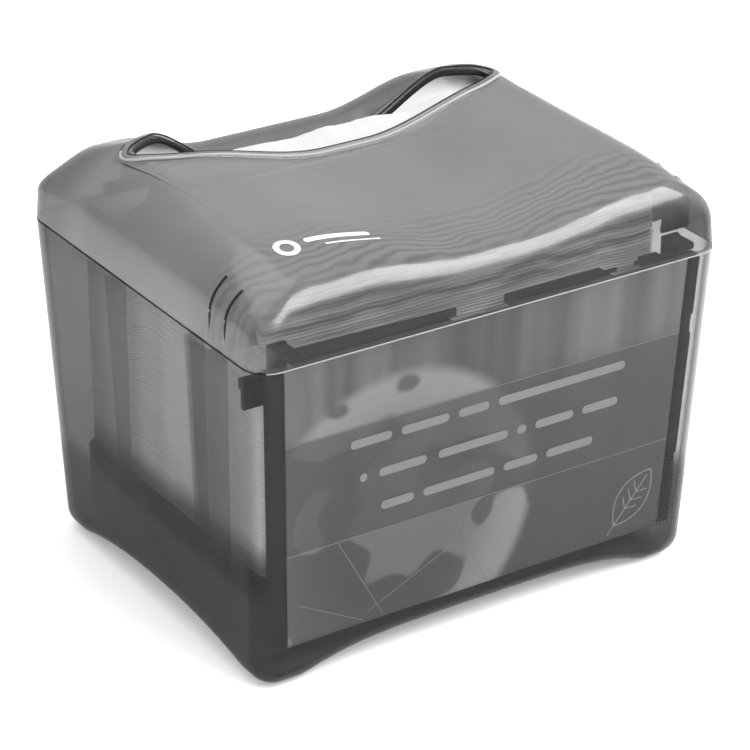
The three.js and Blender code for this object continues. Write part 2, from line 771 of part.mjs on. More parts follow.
// Mirrors a closed body across X = 0, turning its triangles so that they still face out.
function mirrored(geometry) {
  const copy = geometry.clone().scale(-1, 1, 1);
  const count = copy.attributes.position.count;
  const order = copy.index ? copy.index.array : Array.from({ length: count }, (_, i) => i);
  const turned = [];
  for (let i = 0; i < order.length; i += 3) turned.push(order[i], order[i + 2], order[i + 1]);
  copy.setIndex(turned);
  return copy;
}

const SIDES = [['left', -1], ['right', 1]];
const ENDS = [['front', -1], ['rear', 1]];

const caseGroup = new THREE.Group();
add(caseGroup, 'case_shell', caseShell(), 'smoke');
add(caseGroup, 'floor_plate', floorPlate(), 'dark');
for (const [end, ey] of ENDS) {
  for (const [side, sx] of SIDES) {
    add(caseGroup, `rubber_foot_${end}_${side}`, rubberFoot(), 'rubber', sx * PAD_X, ey * PAD_Y);
    add(caseGroup, `floor_screw_${end}_${side}`, floorScrew(), 'steel', sx * SCREW_X, ey * SCREW_Y);
  }
}
add(caseGroup, 'insert_sheet', insertSheet(), 'clear');
add(caseGroup, 'insert_frame', insertFrame(), 'dark');
add(caseGroup, 'napkin_stack', napkinStack(), 'paper');
add(caseGroup, 'top_napkin', topNapkin(), 'paper');
for (const [side, sx] of SIDES) {
  const fromLeft = (geometry) => (sx < 0 ? geometry : mirrored(geometry));
  const fromRight = (geometry) => (sx > 0 ? geometry : mirrored(geometry));
  add(caseGroup, `spring_${side}`, spring(), 'steel', sx * SPRING_X);
  add(caseGroup, `guide_channel_${side}`, fromLeft(guideChannel()), 'smoke');
  add(caseGroup, `guide_rib_${side}`, fromLeft(guideRib()), 'smoke');
  add(caseGroup, `hinge_bracket_${side}`, hingeBracket(), 'smoke', sx * HINGE_X);
  add(caseGroup, `hinge_pin_${side}`, hingePin(), 'steel', sx * HINGE_X, HINGE_Y, HINGE_Z);
  add(caseGroup, `latch_catch_${side}`, fromRight(latchCatch()), 'dark');
}

const platformGroup = new THREE.Group();
add(platformGroup, 'platform', platform(), 'dark');

const lidGroup = new THREE.Group();
add(lidGroup, 'lid_shell', lidShell(), 'smokeLid');
for (const [side, sx] of SIDES) {
  add(lidGroup, `hinge_arm_${side}`, hingeArm(), 'smokeLid', sx * HINGE_X);
  add(lidGroup, `latch_hook_${side}`, latchHook(), 'dark', sx * HOOK_X);
}

dispenser.add(caseGroup, platformGroup, lidGroup);
// The hinges stand out behind, so the case sits forward of the middle of the footprint.
dispenser.position.y = -(HINGE_Y + KNUCKLE_R - DEPTH / 2) / 2;

export default dispenser;
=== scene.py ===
"""Looks of the tabletop napkin dispenser: smoky see-through shells, napkins, printed insert.

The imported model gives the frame, the bodies and the joints. The shells are drawn again here with
the CAD model's own formulas and many more points. Lengths are in millimetres in the case's own
frame until point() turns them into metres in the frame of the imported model.
"""

import math

import bmesh
import bpy
import numpy as np
from mathutils import Matrix, Vector, noise


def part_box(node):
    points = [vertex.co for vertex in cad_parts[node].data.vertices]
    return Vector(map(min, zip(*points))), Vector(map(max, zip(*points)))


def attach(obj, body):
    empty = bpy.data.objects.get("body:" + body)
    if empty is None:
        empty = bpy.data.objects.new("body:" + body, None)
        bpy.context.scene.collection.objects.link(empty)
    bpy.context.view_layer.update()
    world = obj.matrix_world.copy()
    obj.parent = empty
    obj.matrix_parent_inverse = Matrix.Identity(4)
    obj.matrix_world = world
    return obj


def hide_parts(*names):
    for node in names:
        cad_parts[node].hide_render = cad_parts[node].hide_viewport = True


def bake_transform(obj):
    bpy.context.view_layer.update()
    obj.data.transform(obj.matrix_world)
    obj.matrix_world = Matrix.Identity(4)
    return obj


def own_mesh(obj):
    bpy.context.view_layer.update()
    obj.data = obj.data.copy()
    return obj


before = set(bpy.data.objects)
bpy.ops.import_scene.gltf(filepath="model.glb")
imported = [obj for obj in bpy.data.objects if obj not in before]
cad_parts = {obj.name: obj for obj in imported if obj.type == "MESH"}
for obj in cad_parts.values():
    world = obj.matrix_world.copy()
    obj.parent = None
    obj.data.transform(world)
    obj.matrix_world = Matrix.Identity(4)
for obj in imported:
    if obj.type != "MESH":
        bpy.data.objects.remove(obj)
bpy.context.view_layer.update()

# ---------- driving dimensions

CASE_LOW, CASE_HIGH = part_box("case_shell")
WIDTH = 1000 * (CASE_HIGH.x - CASE_LOW.x)
DEPTH = 1000 * (CASE_HIGH.y - CASE_LOW.y)
CASE_Y = 500 * (CASE_HIGH.y + CASE_LOW.y)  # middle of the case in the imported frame
SEAM_Z = 1000 * CASE_HIGH.z + 0.15
GAP = 0.3
TAPER_X = 4.7
TAPER_Y = 6.4
CORNER_R = 10
CASE_WALL = 2.5
FOOT_R = 8
ARCH_R = 4
FOOT_LIFT = 0.6
ARCH_RISE = 9
ARCH_HALF_X = 74
ARCH_HALF_Y = 58

LID_WALL = 2.2
LID_DRAFT = 0.6
SIDE_ROLL = 21
FRONT_ROLL = 13
REAR_ROLL = 9
FRONT_ROLL_Z = 131
REAR_ROLL_Z = 135
SIDE_ROLL_Z = 138
HUMP_Z = 160
FRONT_SADDLE_Z = 153
REAR_SADDLE_Z = 139
SLOT_HALF_X = 77
SLOT_HALF_Y = 18
SLOT_Y = 37
BEAD = 4.2

STACK_LOW, STACK_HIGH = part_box("napkin_stack")

SIDES = ("left", "right")
ENDS = ("front", "rear")
RIM_R = 0.5
# (inset, drop) pairs of the small round along the rims of both shells.
RIM_ROUND = [(0, RIM_R), (0.06, 0.25), (0.25, 0.06), (RIM_R, 0)]


# ---------- small maths


def lerp(a, b, t):
    return a + (b - a) * t


def smoothstep(start, end, value):
    t = np.clip((value - start) / (end - start), 0, 1)
    return t * t * (3 - 2 * t)


def point(p):
    """Case-frame millimetres to packed-frame metres, for one point or an array of them."""
    return (np.asarray(p, float) + (0, CASE_Y, 0)) / 1000


def grain(x, y, z):
    return noise.noise(Vector((x, y, z)))


# ---------- meshes


SHARP_DEGREES = 35  # edges that turn more than this stay sharp


def new_object(name, data):
    obj = bpy.data.objects.new(name, data)
    bpy.context.scene.collection.objects.link(obj)
    return obj


def make_object(name, vertices, faces, material, sharp=SHARP_DEGREES):
    """A smooth-shaded mesh object from case-frame millimetres."""
    mesh = bpy.data.meshes.new(name)
    mesh.from_pydata([tuple(p) for p in point(vertices)], [], [tuple(f) for f in faces])
    mesh.update()
    mesh.polygons.foreach_set("use_smooth", [True] * len(mesh.polygons))
    mesh.set_sharp_from_angle(angle=math.radians(sharp))
    mesh.materials.append(material)
    return new_object(name, mesh)


def paint(obj, name, colours):
    """A vertex colour attribute from a flat list of red, green, blue and alpha."""
    attribute = obj.data.color_attributes.new(name, "FLOAT_COLOR", "POINT")
    attribute.data.foreach_set("color", colours)


def settle(obj, body, slot, *nodes):
    """The piece rides on a body and hides the CAD nodes it stands for; slot is not used."""
    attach(obj, body)
    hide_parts(*nodes)
    return obj


def skin(rings, closed=False, around=True):
    """Vertices and quads through rings of equal length; closed joins the last ring to the first."""
    rings = np.asarray(rings, float)
    rows, count = rings.shape[:2]
    faces = []
    for r in range(rows if closed else rows - 1):
        low, high = r * count, ((r + 1) % rows) * count
        for i in range(count if around else count - 1):
            j = (i + 1) % count
            faces.append((low + i, low + j, high + j, high + i))
    return rings.reshape(-1, 3), faces


def capped(rings):
    """An open skin closed by a fan at each end."""
    vertices, faces = skin(rings)
    rows, count = np.asarray(rings).shape[:2]
    ends = [np.mean(rings[0], axis=0), np.mean(rings[-1], axis=0)]
    first, last, base = len(vertices), len(vertices) + 1, (rows - 1) * count
    for i in range(count):
        j = (i + 1) % count
        faces.append((j, i, first))
        faces.append((base + i, base + j, last))
    return np.vstack([vertices, ends]), faces


def merged(parts):
    """Several (vertices, faces) as one."""
    vertices, faces, start = [], [], 0
    for some_vertices, some_faces in parts:
        vertices.append(some_vertices)
        faces += [tuple(start + i for i in face) for face in some_faces]
        start += len(some_vertices)
    return np.vstack(vertices), faces


def lathe(profile, centre, axis="z", sides=40):
    """Turns (radius, along) pairs round an axis through centre."""
    rings = []
    for radius, along in profile:
        angles = np.linspace(0, 2 * math.pi, sides, endpoint=False)
        a, b = radius * np.cos(angles), radius * np.sin(angles)
        along = np.full(sides, float(along))
        columns = [a, b, along] if axis == "z" else [along, a, b]
        rings.append(np.stack(columns, axis=1) + centre)
    return capped(rings)


def tube(path, radius, sides=8, closed=False):
    """A round rod along a path, its section kept square to the path."""
    path = np.asarray(path, float)
    if closed:
        span = np.roll(path, -1, axis=0) - np.roll(path, 1, axis=0)
    else:
        span = np.gradient(path, axis=0)
    span /= np.linalg.norm(span, axis=1)[:, None]
    level = np.cross(span, (0.0, 0.05, 1.0))
    level /= np.linalg.norm(level, axis=1)[:, None]
    raised = np.cross(level, span)
    angles = np.linspace(0, 2 * math.pi, sides, endpoint=False)
    rings = [
        p + radius * (np.outer(np.cos(angles), a) + np.outer(np.sin(angles), b))
        for p, a, b in zip(path, level, raised)
    ]
    return skin(rings, closed=True) if closed else capped(rings)


SAME_POINT = 1e-6  # metres
FLAT_DEGREES = 2  # faces that turn less than this are joined into one


def refined(node, material, body, slot, bevel=0.35):
    """A CAD node's own shape with its flat faces cleaned and its edges rounded."""
    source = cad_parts[node]
    mesh = source.data.copy()
    built = bmesh.new()
    built.from_mesh(mesh)
    bmesh.ops.remove_doubles(built, verts=built.verts, dist=SAME_POINT)
    flat = math.radians(FLAT_DEGREES)
    bmesh.ops.dissolve_limit(built, angle_limit=flat, verts=built.verts, edges=built.edges)
    built.to_mesh(mesh)
    built.free()
    mesh.materials.clear()
    mesh.materials.append(material)
    obj = new_object(f"{node}_moulded", mesh)
    edge = obj.modifiers.new("rounded edges", "BEVEL")
    edge.width = bevel / 1000
    edge.segments = 3
    edge.limit_method = "ANGLE"
    edge.angle_limit = math.radians(SHARP_DEGREES)
    edge.harden_normals = True
    mesh.polygons.foreach_set("use_smooth", [True] * len(mesh.polygons))
    mesh.set_sharp_from_angle(angle=math.radians(SHARP_DEGREES))
    return settle(obj, body, slot, node)


# ---------- materials

LINES_PER_METRE = 240  # wavy lines of painted shade on the lid itself, for the napkin folds under it
SMOKE = 0.46  # share of light left in the absorbing plastic's colour


SIDE_MILK = 0.5  # milky share added where the lid faces up or to the side
PAINTED_FOLD_SHADE = 0.11  # how much darker the painted shade lines are


def grey(level):
    return (level, level, level, 1)


class Nodes:
    """A material's node tree with short ways to add and join nodes."""

    def __init__(self, name):
        self.material = bpy.data.materials.new(name)
        self.material.use_nodes = True
        self.tree = self.material.node_tree
        self.tree.nodes.clear()
        self.output = self.tree.nodes.new("ShaderNodeOutputMaterial")

    def add(self, kind, settings=None, **inputs):
        node = self.tree.nodes.new(kind)
        for key, value in (settings or {}).items():
            setattr(node, key, value)
        for key, value in inputs.items():
            self.feed(node.inputs[key.replace("_", " ")], value)
        return node

    def feed(self, socket, value):
        if isinstance(value, bpy.types.NodeSocket):
            self.tree.links.new(value, socket)
        else:
            socket.default_value = value

    def maths(self, operation, *values):
        node = self.tree.nodes.new("ShaderNodeMath")
        node.operation = operation
        for socket, value in zip(node.inputs, values):
            self.feed(socket, value)
        return node.outputs[0]

    def noise(self, scale, detail=3.0, stretch=(1, 1, 1)):
        place = self.add("ShaderNodeTexCoord")
        mapping = self.add("ShaderNodeMapping", Vector=place.outputs["Object"], Scale=stretch)
        texture = self.add(
            "ShaderNodeTexNoise", Vector=mapping.outputs[0], Scale=scale, Detail=detail
        )
        return texture.outputs["Fac"]

    def ramp(self, value, low, high):
        return self.add(
            "ShaderNodeMapRange", None, Value=value, To_Min=low, To_Max=high
        ).outputs[0]

    def step(self, value, start, end):
        """0 to 1 with soft ends as value goes from start to end, which may be the lower one."""
        low, high, first = (start, end, 0.0) if start < end else (end, start, 1.0)
        node = self.add(
            "ShaderNodeMapRange", {"interpolation_type": "SMOOTHSTEP"},
            Value=value, From_Min=low, From_Max=high, To_Min=first, To_Max=1 - first,
        )
        return node.outputs[0]

    def bump(self, height, strength, distance):
        return self.add(
            "ShaderNodeBump", Height=height, Strength=strength, Distance=distance
        ).outputs[0]

    def two_tone(self, value, low, high):
        """A colour that goes from low to high with value."""
        ramp = self.add("ShaderNodeValToRGB", Fac=value)
        ramp.color_ramp.elements[0].color = low
        ramp.color_ramp.elements[1].color = high
        return ramp.outputs[0]

    def blend(self, share, first, second):
        mix = self.tree.nodes.new("ShaderNodeMixShader")
        self.feed(mix.inputs[0], share)
        self.tree.links.new(first, mix.inputs[1])
        self.tree.links.new(second, mix.inputs[2])
        return mix.outputs[0]

    def done(self, surface, volume=None):
        self.tree.links.new(surface, self.output.inputs["Surface"])
        if volume is not None:
            self.tree.links.new(volume, self.output.inputs["Volume"])
        return self.material


def smoky(name, tint, absorb, haze, veil=None, cloud=0.1, rough=0.1, mirror=0.018):
    """See-through plastic: tinted, darker the more of the wall is looked through, glossy.

    haze is the milky share everywhere, and veil(nodes) gives a share that changes with place.
    cloud is the grey of the milk and mirror the share reflected face on; either may be a
    function of the nodes that gives it.
    """
    n = Nodes(name)
    wavy = n.bump(n.noise(28, 2.0), 0.15, 0.004)
    normal = n.add(
        "ShaderNodeBump", Height=n.noise(900, 2.0), Strength=0.03, Distance=0.0004, Normal=wavy
    ).outputs[0]
    smooth = n.ramp(n.noise(60, 4.0), rough * 0.7, rough * 1.3)
    gloss = n.add("ShaderNodeBsdfGlossy", Roughness=smooth, Normal=normal).outputs[0]
    clear = n.add("ShaderNodeBsdfTransparent", Color=grey(tint)).outputs[0]
    milk = n.add(
        "ShaderNodeBsdfDiffuse", Color=cloud(n) if callable(cloud) else grey(cloud), Normal=normal
    ).outputs[0]
    facing = n.add("ShaderNodeLayerWeight", Blend=0.5, Normal=wavy).outputs["Facing"]
    even = mirror(n) if callable(mirror) else mirror
    shine = n.maths("MULTIPLY_ADD", n.maths("POWER", facing, 5.0), 0.4, even)
    share = n.maths("ADD", veil(n), haze) if veil else haze
    body = n.blend(share, clear, milk)
    volume = n.add(
        "ShaderNodeVolumeAbsorption", Color=grey(SMOKE), Density=absorb
    ).outputs[0]
    return n.done(n.blend(shine, body, gloss), volume)


def sideways(n):
    """Near 1 where a wall faces up or to the side, 0 where it faces the front or the rear."""
    outward = n.add("ShaderNodeTexCoord").outputs["Normal"]
    along = n.add("ShaderNodeSeparateXYZ", Vector=outward).outputs["Y"]
    return n.maths("SUBTRACT", 1.0, n.maths("MULTIPLY", along, along))


def lid_veil(n):
    return n.maths("MULTIPLY", sideways(n), SIDE_MILK)


def lid_mirror(n):
    """Shinier over the top and sides than on the front."""
    return n.maths("MULTIPLY_ADD", sideways(n), 0.055, 0.018)


def lid_milk_painted_shade(n):
    """The milk's grey with painted shade: lined where the lid lies on the front folds of the stack,
    and darker towards the rear.
    """
    place = n.add("ShaderNodeTexCoord").outputs["Object"]
    across = n.add("ShaderNodeSeparateXYZ", Vector=place).outputs["Y"]
    along = n.maths("MULTIPLY_ADD", n.noise(24, 3.0), 0.03, across)
    wave = n.maths("SINE", n.maths("MULTIPLY", along, LINES_PER_METRE * 2 * math.pi))
    lines = n.maths("POWER", n.maths("MULTIPLY_ADD", wave, 0.5, 0.5), 2.0)
    near_front = n.maths("MULTIPLY", n.step(across, -0.038, -0.060), n.noise(14, 1.0))
    # Painted shade: dark wavy lines where the stack's front folds lie under the lid.
    lined = n.maths("MULTIPLY", n.maths("MULTIPLY", lines, near_front), -PAINTED_FOLD_SHADE)
    patches = n.maths("MULTIPLY_ADD", n.noise(22, 3.0), 0.07, 0.145)
    rear = n.maths("MULTIPLY", n.step(across, 0.040, 0.056), -0.09)
    level = n.maths("ADD", n.maths("ADD", lined, patches), rear)
    return n.add("ShaderNodeCombineColor", Red=level, Green=level, Blue=level).outputs[0]


def case_painted_shade(n):
    """Painted shade: the wall is made dark at the foot, beside the platform's well and on the rear
    wall.
    """
    place = n.add("ShaderNodeTexCoord").outputs["Object"]
    where = n.add("ShaderNodeSeparateXYZ", Vector=place)
    foot = n.maths("MULTIPLY", n.step(where.outputs["Z"], 0.016, 0.010), 0.4)
    well = n.step(where.outputs["Z"], 0.044, 0.031)
    beside = n.maths("MULTIPLY", n.maths("MULTIPLY", well, sideways(n)), 0.6)
    rear = n.maths("MULTIPLY", n.step(where.outputs["Y"], 0.062, 0.076), 0.45)
    return n.maths("MAXIMUM", n.maths("MAXIMUM", beside, foot), rear)


def plastic(name, colour, rough, mottled=0.35):
    """Solid moulded plastic with a fine spark-eroded grain and a little uneven shine."""
    n = Nodes(name)
    cloud = n.noise(45, 4.0)
    low = tuple(c * (1 - mottled) for c in colour) + (1,)
    high = tuple(c * (1 + mottled) for c in colour) + (1,)
    shade = n.add(
        "ShaderNodeBsdfPrincipled",
        Base_Color=n.two_tone(cloud, low, high),
        Roughness=n.ramp(cloud, rough * 0.8, min(1, rough * 1.25)),
        Normal=n.bump(n.noise(1400, 3.0), 0.12, 0.0003),
    )
    shade.inputs["Specular IOR Level"].default_value = 0.15
    return n.done(shade.outputs[0])


def paper(name, light, shaded=False):
    """Soft embossed tissue without shine; a shaded one has its colour multiplied by its mesh's
    attribute of painted light and shade.
    """
    n = Nodes(name)
    fibres = n.noise(700, 5.0, (1, 1, 2.2))
    place = n.add("ShaderNodeTexCoord")
    cells = n.add(
        "ShaderNodeTexVoronoi", Vector=place.outputs["Object"], Scale=620.0
    ).outputs["Distance"]
    colour = n.two_tone(n.noise(35, 3.0), grey(light * 0.84), grey(light))
    if shaded:
        shade = n.add("ShaderNodeAttribute", {"attribute_name": "shade"}).outputs["Color"]
        multiply = n.add("ShaderNodeVectorMath", {"operation": "MULTIPLY"})
        n.feed(multiply.inputs[0], colour)
        n.feed(multiply.inputs[1], shade)
        colour = multiply.outputs[0]
    dimples = n.bump(cells, 0.25, 0.0003)
    normal = n.add(
        "ShaderNodeBump", Height=fibres, Strength=0.35, Distance=0.0004, Normal=dimples
    ).outputs[0]
    tissue = n.add(
        "ShaderNodeBsdfPrincipled", Base_Color=colour, Roughness=0.95, Normal=normal
    )
    tissue.inputs["Specular IOR Level"].default_value = 0.2
    tissue.inputs["Sheen Weight"].default_value = 0.15
    return n.done(tissue.outputs[0])


def steel(name):
    """Drawn steel with fine lines along X and small changes in shine."""
    n = Nodes(name)
    lines = n.noise(900, 3.0, (0.05, 1, 1))
    shade = n.add(
        "ShaderNodeBsdfPrincipled",
        Base_Color=(0.62, 0.63, 0.64, 1),
        Metallic=1.0,
        Roughness=n.ramp(lines, 0.22, 0.42),
        Normal=n.bump(lines, 0.08, 0.0002),
    )
    return n.done(shade.outputs[0])


def rubber(name):
    """Dull black rubber with fine specks."""
    n = Nodes(name)
    specks = n.noise(1600, 4.0)
    shade = n.add(
        "ShaderNodeBsdfPrincipled",
        Base_Color=n.two_tone(specks, (0.012, 0.012, 0.012, 1), (0.035, 0.035, 0.034, 1)),
        Roughness=0.85,
        Normal=n.bump(specks, 0.3, 0.0003),
    )
    return n.done(shade.outputs[0])


def printed(name, attribute=None, colour=(0.5, 0.5, 0.5)):
    """Printed film: its ink comes from the mesh's own attribute, or is one colour of ink."""
    n = Nodes(name)
    speckle = n.noise(1100, 2.0)
    normal = n.bump(speckle, 0.05, 0.0002)
    if attribute:
        ink = n.add("ShaderNodeAttribute", {"attribute_name": attribute}).outputs["Color"]
    else:
        low, high = (tuple(c * part for c in colour) + (1,) for part in (0.92, 1.08))
        ink = n.two_tone(speckle, low, high)
    shade = n.add(
        "ShaderNodeBsdfPrincipled", Base_Color=ink, Roughness=0.35, Normal=normal
    )
    return n.done(shade.outputs[0])


# smoky(name, share let through by one skin, absorbed per metre, haze)
CASE_PLASTIC = smoky("smoky case", 0.965, 285, 0.03, veil=case_painted_shade, cloud=0.03)
LID_PLASTIC = smoky(
    "smoky lid", 0.93, 420, 0.03, veil=lid_veil, cloud=lid_milk_painted_shade, rough=0.17, mirror=lid_mirror
)
GUIDE_PLASTIC = smoky("smoky guide", 0.96, 380, 0.02)
GUSSET_PLASTIC = smoky("smoky gusset", 0.8, 500, 0.1, mirror=0.008, rough=0.3)
FRAME_PLASTIC = smoky("dark frame", 0.3, 900, 0.5, cloud=0.012, mirror=0.012)
RIM_PLASTIC = smoky("dark rim", 0.25, 1500, 0.6, cloud=0.02)
# Painted highlight: pale plastic for the rods that stand for highlights on rims.
PAINTED_HIGHLIGHT_RIM = smoky("painted highlight rim", 0.9, 200, 0.6, cloud=0.45)
INNER_PLASTIC = plastic("black inner plastic", (0.012, 0.012, 0.012), 0.6)
LATCH_PLASTIC = plastic("dark latch plastic", (0.014, 0.014, 0.014), 0.35)
STACK_PAPER = paper("stacked napkin paper", light=0.95, shaded=True)
# Painted shade: the top napkin is the same white tissue as the stack, painted much darker.
NAPKIN_PAPER_PAINTED_SHADE = paper("napkin paper", light=0.4)
SPRING_STEEL = steel("spring steel")
FOOT_RUBBER = rubber("foot rubber")
FILM_PRINT = printed("insert print", attribute="ink")
PALE_INK = printed("pale ink", colour=(0.52, 0.52, 0.52))
LINE_INK = printed("line ink", colour=(0.4, 0.4, 0.4))
WHITE_INK = printed("white mark", colour=(0.46, 0.46, 0.46))

# ---------- outlines and surfaces

CORNER_STEPS = 14
LONG_STEPS = 44
SHORT_STEPS = 36


def outline(half_x, front, rear, radius):
    """Rounded rectangle as points and outward directions, anticlockwise from the front left."""
    corners = [
        (radius - half_x, front + radius, 180),
        (half_x - radius, front + radius, 270),
        (half_x - radius, rear - radius, 0),
        (radius - half_x, rear - radius, 90),
    ]
    points, normals = [], []
    for side, (cx, cy, start) in enumerate(corners):
        for k in range(CORNER_STEPS + 1):
            angle = math.radians(start + 90 * k / CORNER_STEPS)
            normals.append((math.cos(angle), math.sin(angle)))
            points.append((cx + radius * normals[-1][0], cy + radius * normals[-1][1]))
        last, straight = points[-1], normals[-1]
        next_x, next_y, next_start = corners[(side + 1) % 4]
        end_x = next_x + radius * math.cos(math.radians(next_start))
        end_y = next_y + radius * math.sin(math.radians(next_start))
        steps = LONG_STEPS if side % 2 == 0 else SHORT_STEPS
        for k in range(1, steps):
            points.append((lerp(last[0], end_x, k / steps), lerp(last[1], end_y, k / steps)))
            normals.append(straight)
    return np.array(points), np.array(normals)


def case_outline(z, inset=0.0):
    """Case outline where every point may have its own height."""
    base, normals = outline(WIDTH / 2, -DEPTH / 2, DEPTH / 2, CORNER_R)
    lean = 1 - np.asarray(z, float) / SEAM_Z
    scale_x = 1 - TAPER_X * lean / (WIDTH / 2)
    scale_y = 1 - TAPER_Y * lean / (DEPTH / 2)
    points = np.stack([base[:, 0] * scale_x, base[:, 1] * scale_y], axis=1)
    return points - normals * np.reshape(inset, (-1, 1))


def inner_half_x(z):
    return WIDTH / 2 - TAPER_X * (1 - z / SEAM_Z) - CASE_WALL


def inner_half_y(z):
    return DEPTH / 2 - TAPER_Y * (1 - z / SEAM_Z) - CASE_WALL


def vault(x, y):
    """Height of the case's underside: low at the four feet, arched between them."""
    along_x = 1 - np.minimum(1, np.abs(x) / ARCH_HALF_X) ** 4
    along_y = 1 - np.minimum(1, np.abs(y) / ARCH_HALF_Y) ** 2.2
    return FOOT_LIFT + ARCH_RISE * (1 - (1 - along_x) * (1 - along_y))


def lid_top(x, y):
    """Top surface of the lid before its edges are rolled over."""
    side = np.abs(x)
    fall = 0.053 * np.maximum(0, 20 - y)
    front_rise = lerp(3.5, HUMP_Z - FRONT_SADDLE_Z, smoothstep(-78, -42, y))
    front = FRONT_SADDLE_Z - fall + front_rise * smoothstep(10, 60, side)
    scoop = REAR_SADDLE_Z + 3 * smoothstep(48, 70, y)
    rear_crest = HUMP_Z - 0.37 * np.maximum(0, y - 48)
    rear = lerp(scoop, rear_crest, smoothstep(25, 64, side))
    shoulder = lerp(1.5, 4, smoothstep(-40, 30, y)) * smoothstep(72, 92, side)
    return lerp(front, rear, smoothstep(26, 50, y)) - shoulder


# ---------- case shell


def ring_at(points, z):
    return np.column_stack([points, np.broadcast_to(z, len(points))])


def case_shell():
    _, normals = outline(WIDTH / 2, -DEPTH / 2, DEPTH / 2, CORNER_R)
    at_foot = case_outline(0)
    foot = vault(*(at_foot - FOOT_R * normals).T)
    radius = lerp(FOOT_R, ARCH_R, (foot - FOOT_LIFT) / ARCH_RISE)

    def rolled(degrees, wall):
        r = radius - wall
        turn = math.radians(degrees)
        z = foot + wall + r * (1 - math.cos(turn))
        return ring_at(case_outline(z, wall + r * (1 - math.sin(turn))), z)

    def underside(share, lift):
        rim = at_foot - normals * radius[:, None]
        x, y = (rim * share).T
        z = lerp(vault(x, y), foot, smoothstep(0.75, 1, share))
        return np.column_stack([x, y, z + lift])

    def wall(share, inset):
        low = rolled(90, inset)[:, 2]
        z = lerp(low, SEAM_Z - GAP / 2 - RIM_R, share)
        return ring_at(case_outline(z, inset), z)

    def rim(inset, drop):
        z = SEAM_Z - GAP / 2 - drop
        return ring_at(case_outline(z, inset), z)

    floors = [0.08, 0.2, 0.35, 0.5, 0.62, 0.74, 0.83, 0.91, 0.96]
    turns = [0, 10, 20, 30, 40, 50, 60, 70, 80, 90]
    levels = [k / 10 for k in range(1, 11)]
    edge = RIM_ROUND[1:]
    rings = [underside(share, 0) for share in floors]
    rings += [rolled(turn, 0) for turn in turns]
    rings += [wall(share, 0) for share in levels]
    rings += [rim(inset, drop) for inset, drop in edge]
    rings += [rim(CASE_WALL - inset, drop) for inset, drop in reversed(edge)]
    rings += [wall(share, CASE_WALL) for share in reversed(levels)]
    rings += [rolled(turn, CASE_WALL) for turn in reversed(turns)]
    rings += [underside(share, CASE_WALL) for share in reversed(floors)]
    shell = make_object("case_shell_moulded", *capped(rings), CASE_PLASTIC, 60)
    settle(shell, "case", "case_smoke", "case_shell")


def bosses():
    """Four screw posts that stand up from the floor of the case."""
    top = 1000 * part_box("floor_plate")[0].z - GAP
    for end in ENDS:
        for side in SIDES:
            low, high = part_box(f"floor_screw_{end}_{side}")
            middle = 500 * (low + high)
            y = middle.y - CASE_Y
            floor = float(vault(middle.x, y)) + 1.5
            profile = [(2.0, top), (3.6, top), (4.0, top - 0.4), (4.5, floor + 1), (5.5, floor)]
            post = lathe(profile, (middle.x, y, 0))
            obj = make_object(f"screw_post_{end}_{side}", *post, CASE_PLASTIC)
            settle(obj, "case", "case_smoke")


# ---------- lid shell

TURNS = [0, 6, 12, 19, 26, 33, 40, 47, 54, 61, 68, 74, 79, 84, 87, 90]
BLENDS = [k / 18 for k in range(1, 19)]
# Rolled rim round the slot, as distance out from the slot's edge and height over the lid.
BEAD_PROFILE = [(4.2, 0), (3.4, 1.0), (2.2, 1.6), (0.9, 1.2), (0.1, 0.1), (0, -1.6), (0.8, -2.5)]


def slot_outline():
    base, _ = outline(WIDTH / 2, -DEPTH / 2, DEPTH / 2, CORNER_R)
    angle = np.arctan2(base[:, 1] / (DEPTH / 2), base[:, 0] / (WIDTH / 2))
    across, along = np.cos(angle), np.sin(angle)
    x = SLOT_HALF_X * np.sign(across) * np.abs(across) ** 0.91
    y = SLOT_Y + SLOT_HALF_Y * np.sign(along) * np.abs(along) ** 1.2
    points = np.column_stack([x, y])
    span = np.roll(points, -1, axis=0) - np.roll(points, 1, axis=0)
    span /= np.linalg.norm(span, axis=1)[:, None]
    return points, np.column_stack([span[:, 1], -span[:, 0]])


def lid_rings(thickness):
    def edge(share):
        return outline(
            WIDTH / 2 - LID_DRAFT - SIDE_ROLL * share - thickness,
            -(DEPTH / 2 - LID_DRAFT - FRONT_ROLL * share - thickness),
            DEPTH / 2 - LID_DRAFT - REAR_ROLL * share - thickness,
            max(2, CORNER_R - 7 * share - thickness),
        )

    rings = []
    for turn in TURNS:
        points, normals = edge(1 - math.cos(math.radians(turn)))
        flat = np.where(normals[:, 1] < 0, FRONT_ROLL_Z, REAR_ROLL_Z)
        start = lerp(flat, SIDE_ROLL_Z, normals[:, 0] ** 2)
        top = lid_top(*points.T) - thickness
        rings.append(ring_at(points, lerp(start, top, math.sin(math.radians(turn)))))
    flat_edge, _ = edge(1)
    slot, slot_normals = slot_outline()
    margin = thickness if thickness else BEAD
    for share in BLENDS:
        points = lerp(flat_edge, slot + margin * slot_normals, share)
        rings.append(ring_at(points, lid_top(*points.T) - thickness))
    return rings


def bead_rings():
    """The rim's profile smoothed by a Catmull-Rom curve."""
    keys = np.array([(5.4, 0), *BEAD_PROFILE, (2.0, -2.6)])
    slot, normals = slot_outline()
    rings = []
    for k in range(1, len(keys) - 2):
        p0, p1, p2, p3 = keys[k - 1 : k + 3]
        for t in (0.25, 0.5, 0.75, 1.0):
            curve = 2 * p1 + (p2 - p0) * t + (2 * p0 - 5 * p1 + 4 * p2 - p3) * t * t
            out, rise = (curve + (3 * p1 - p0 - 3 * p2 + p3) * t**3) / 2
            points = slot + out * normals
            rings.append(ring_at(points, lid_top(*points.T) + rise))
    return rings


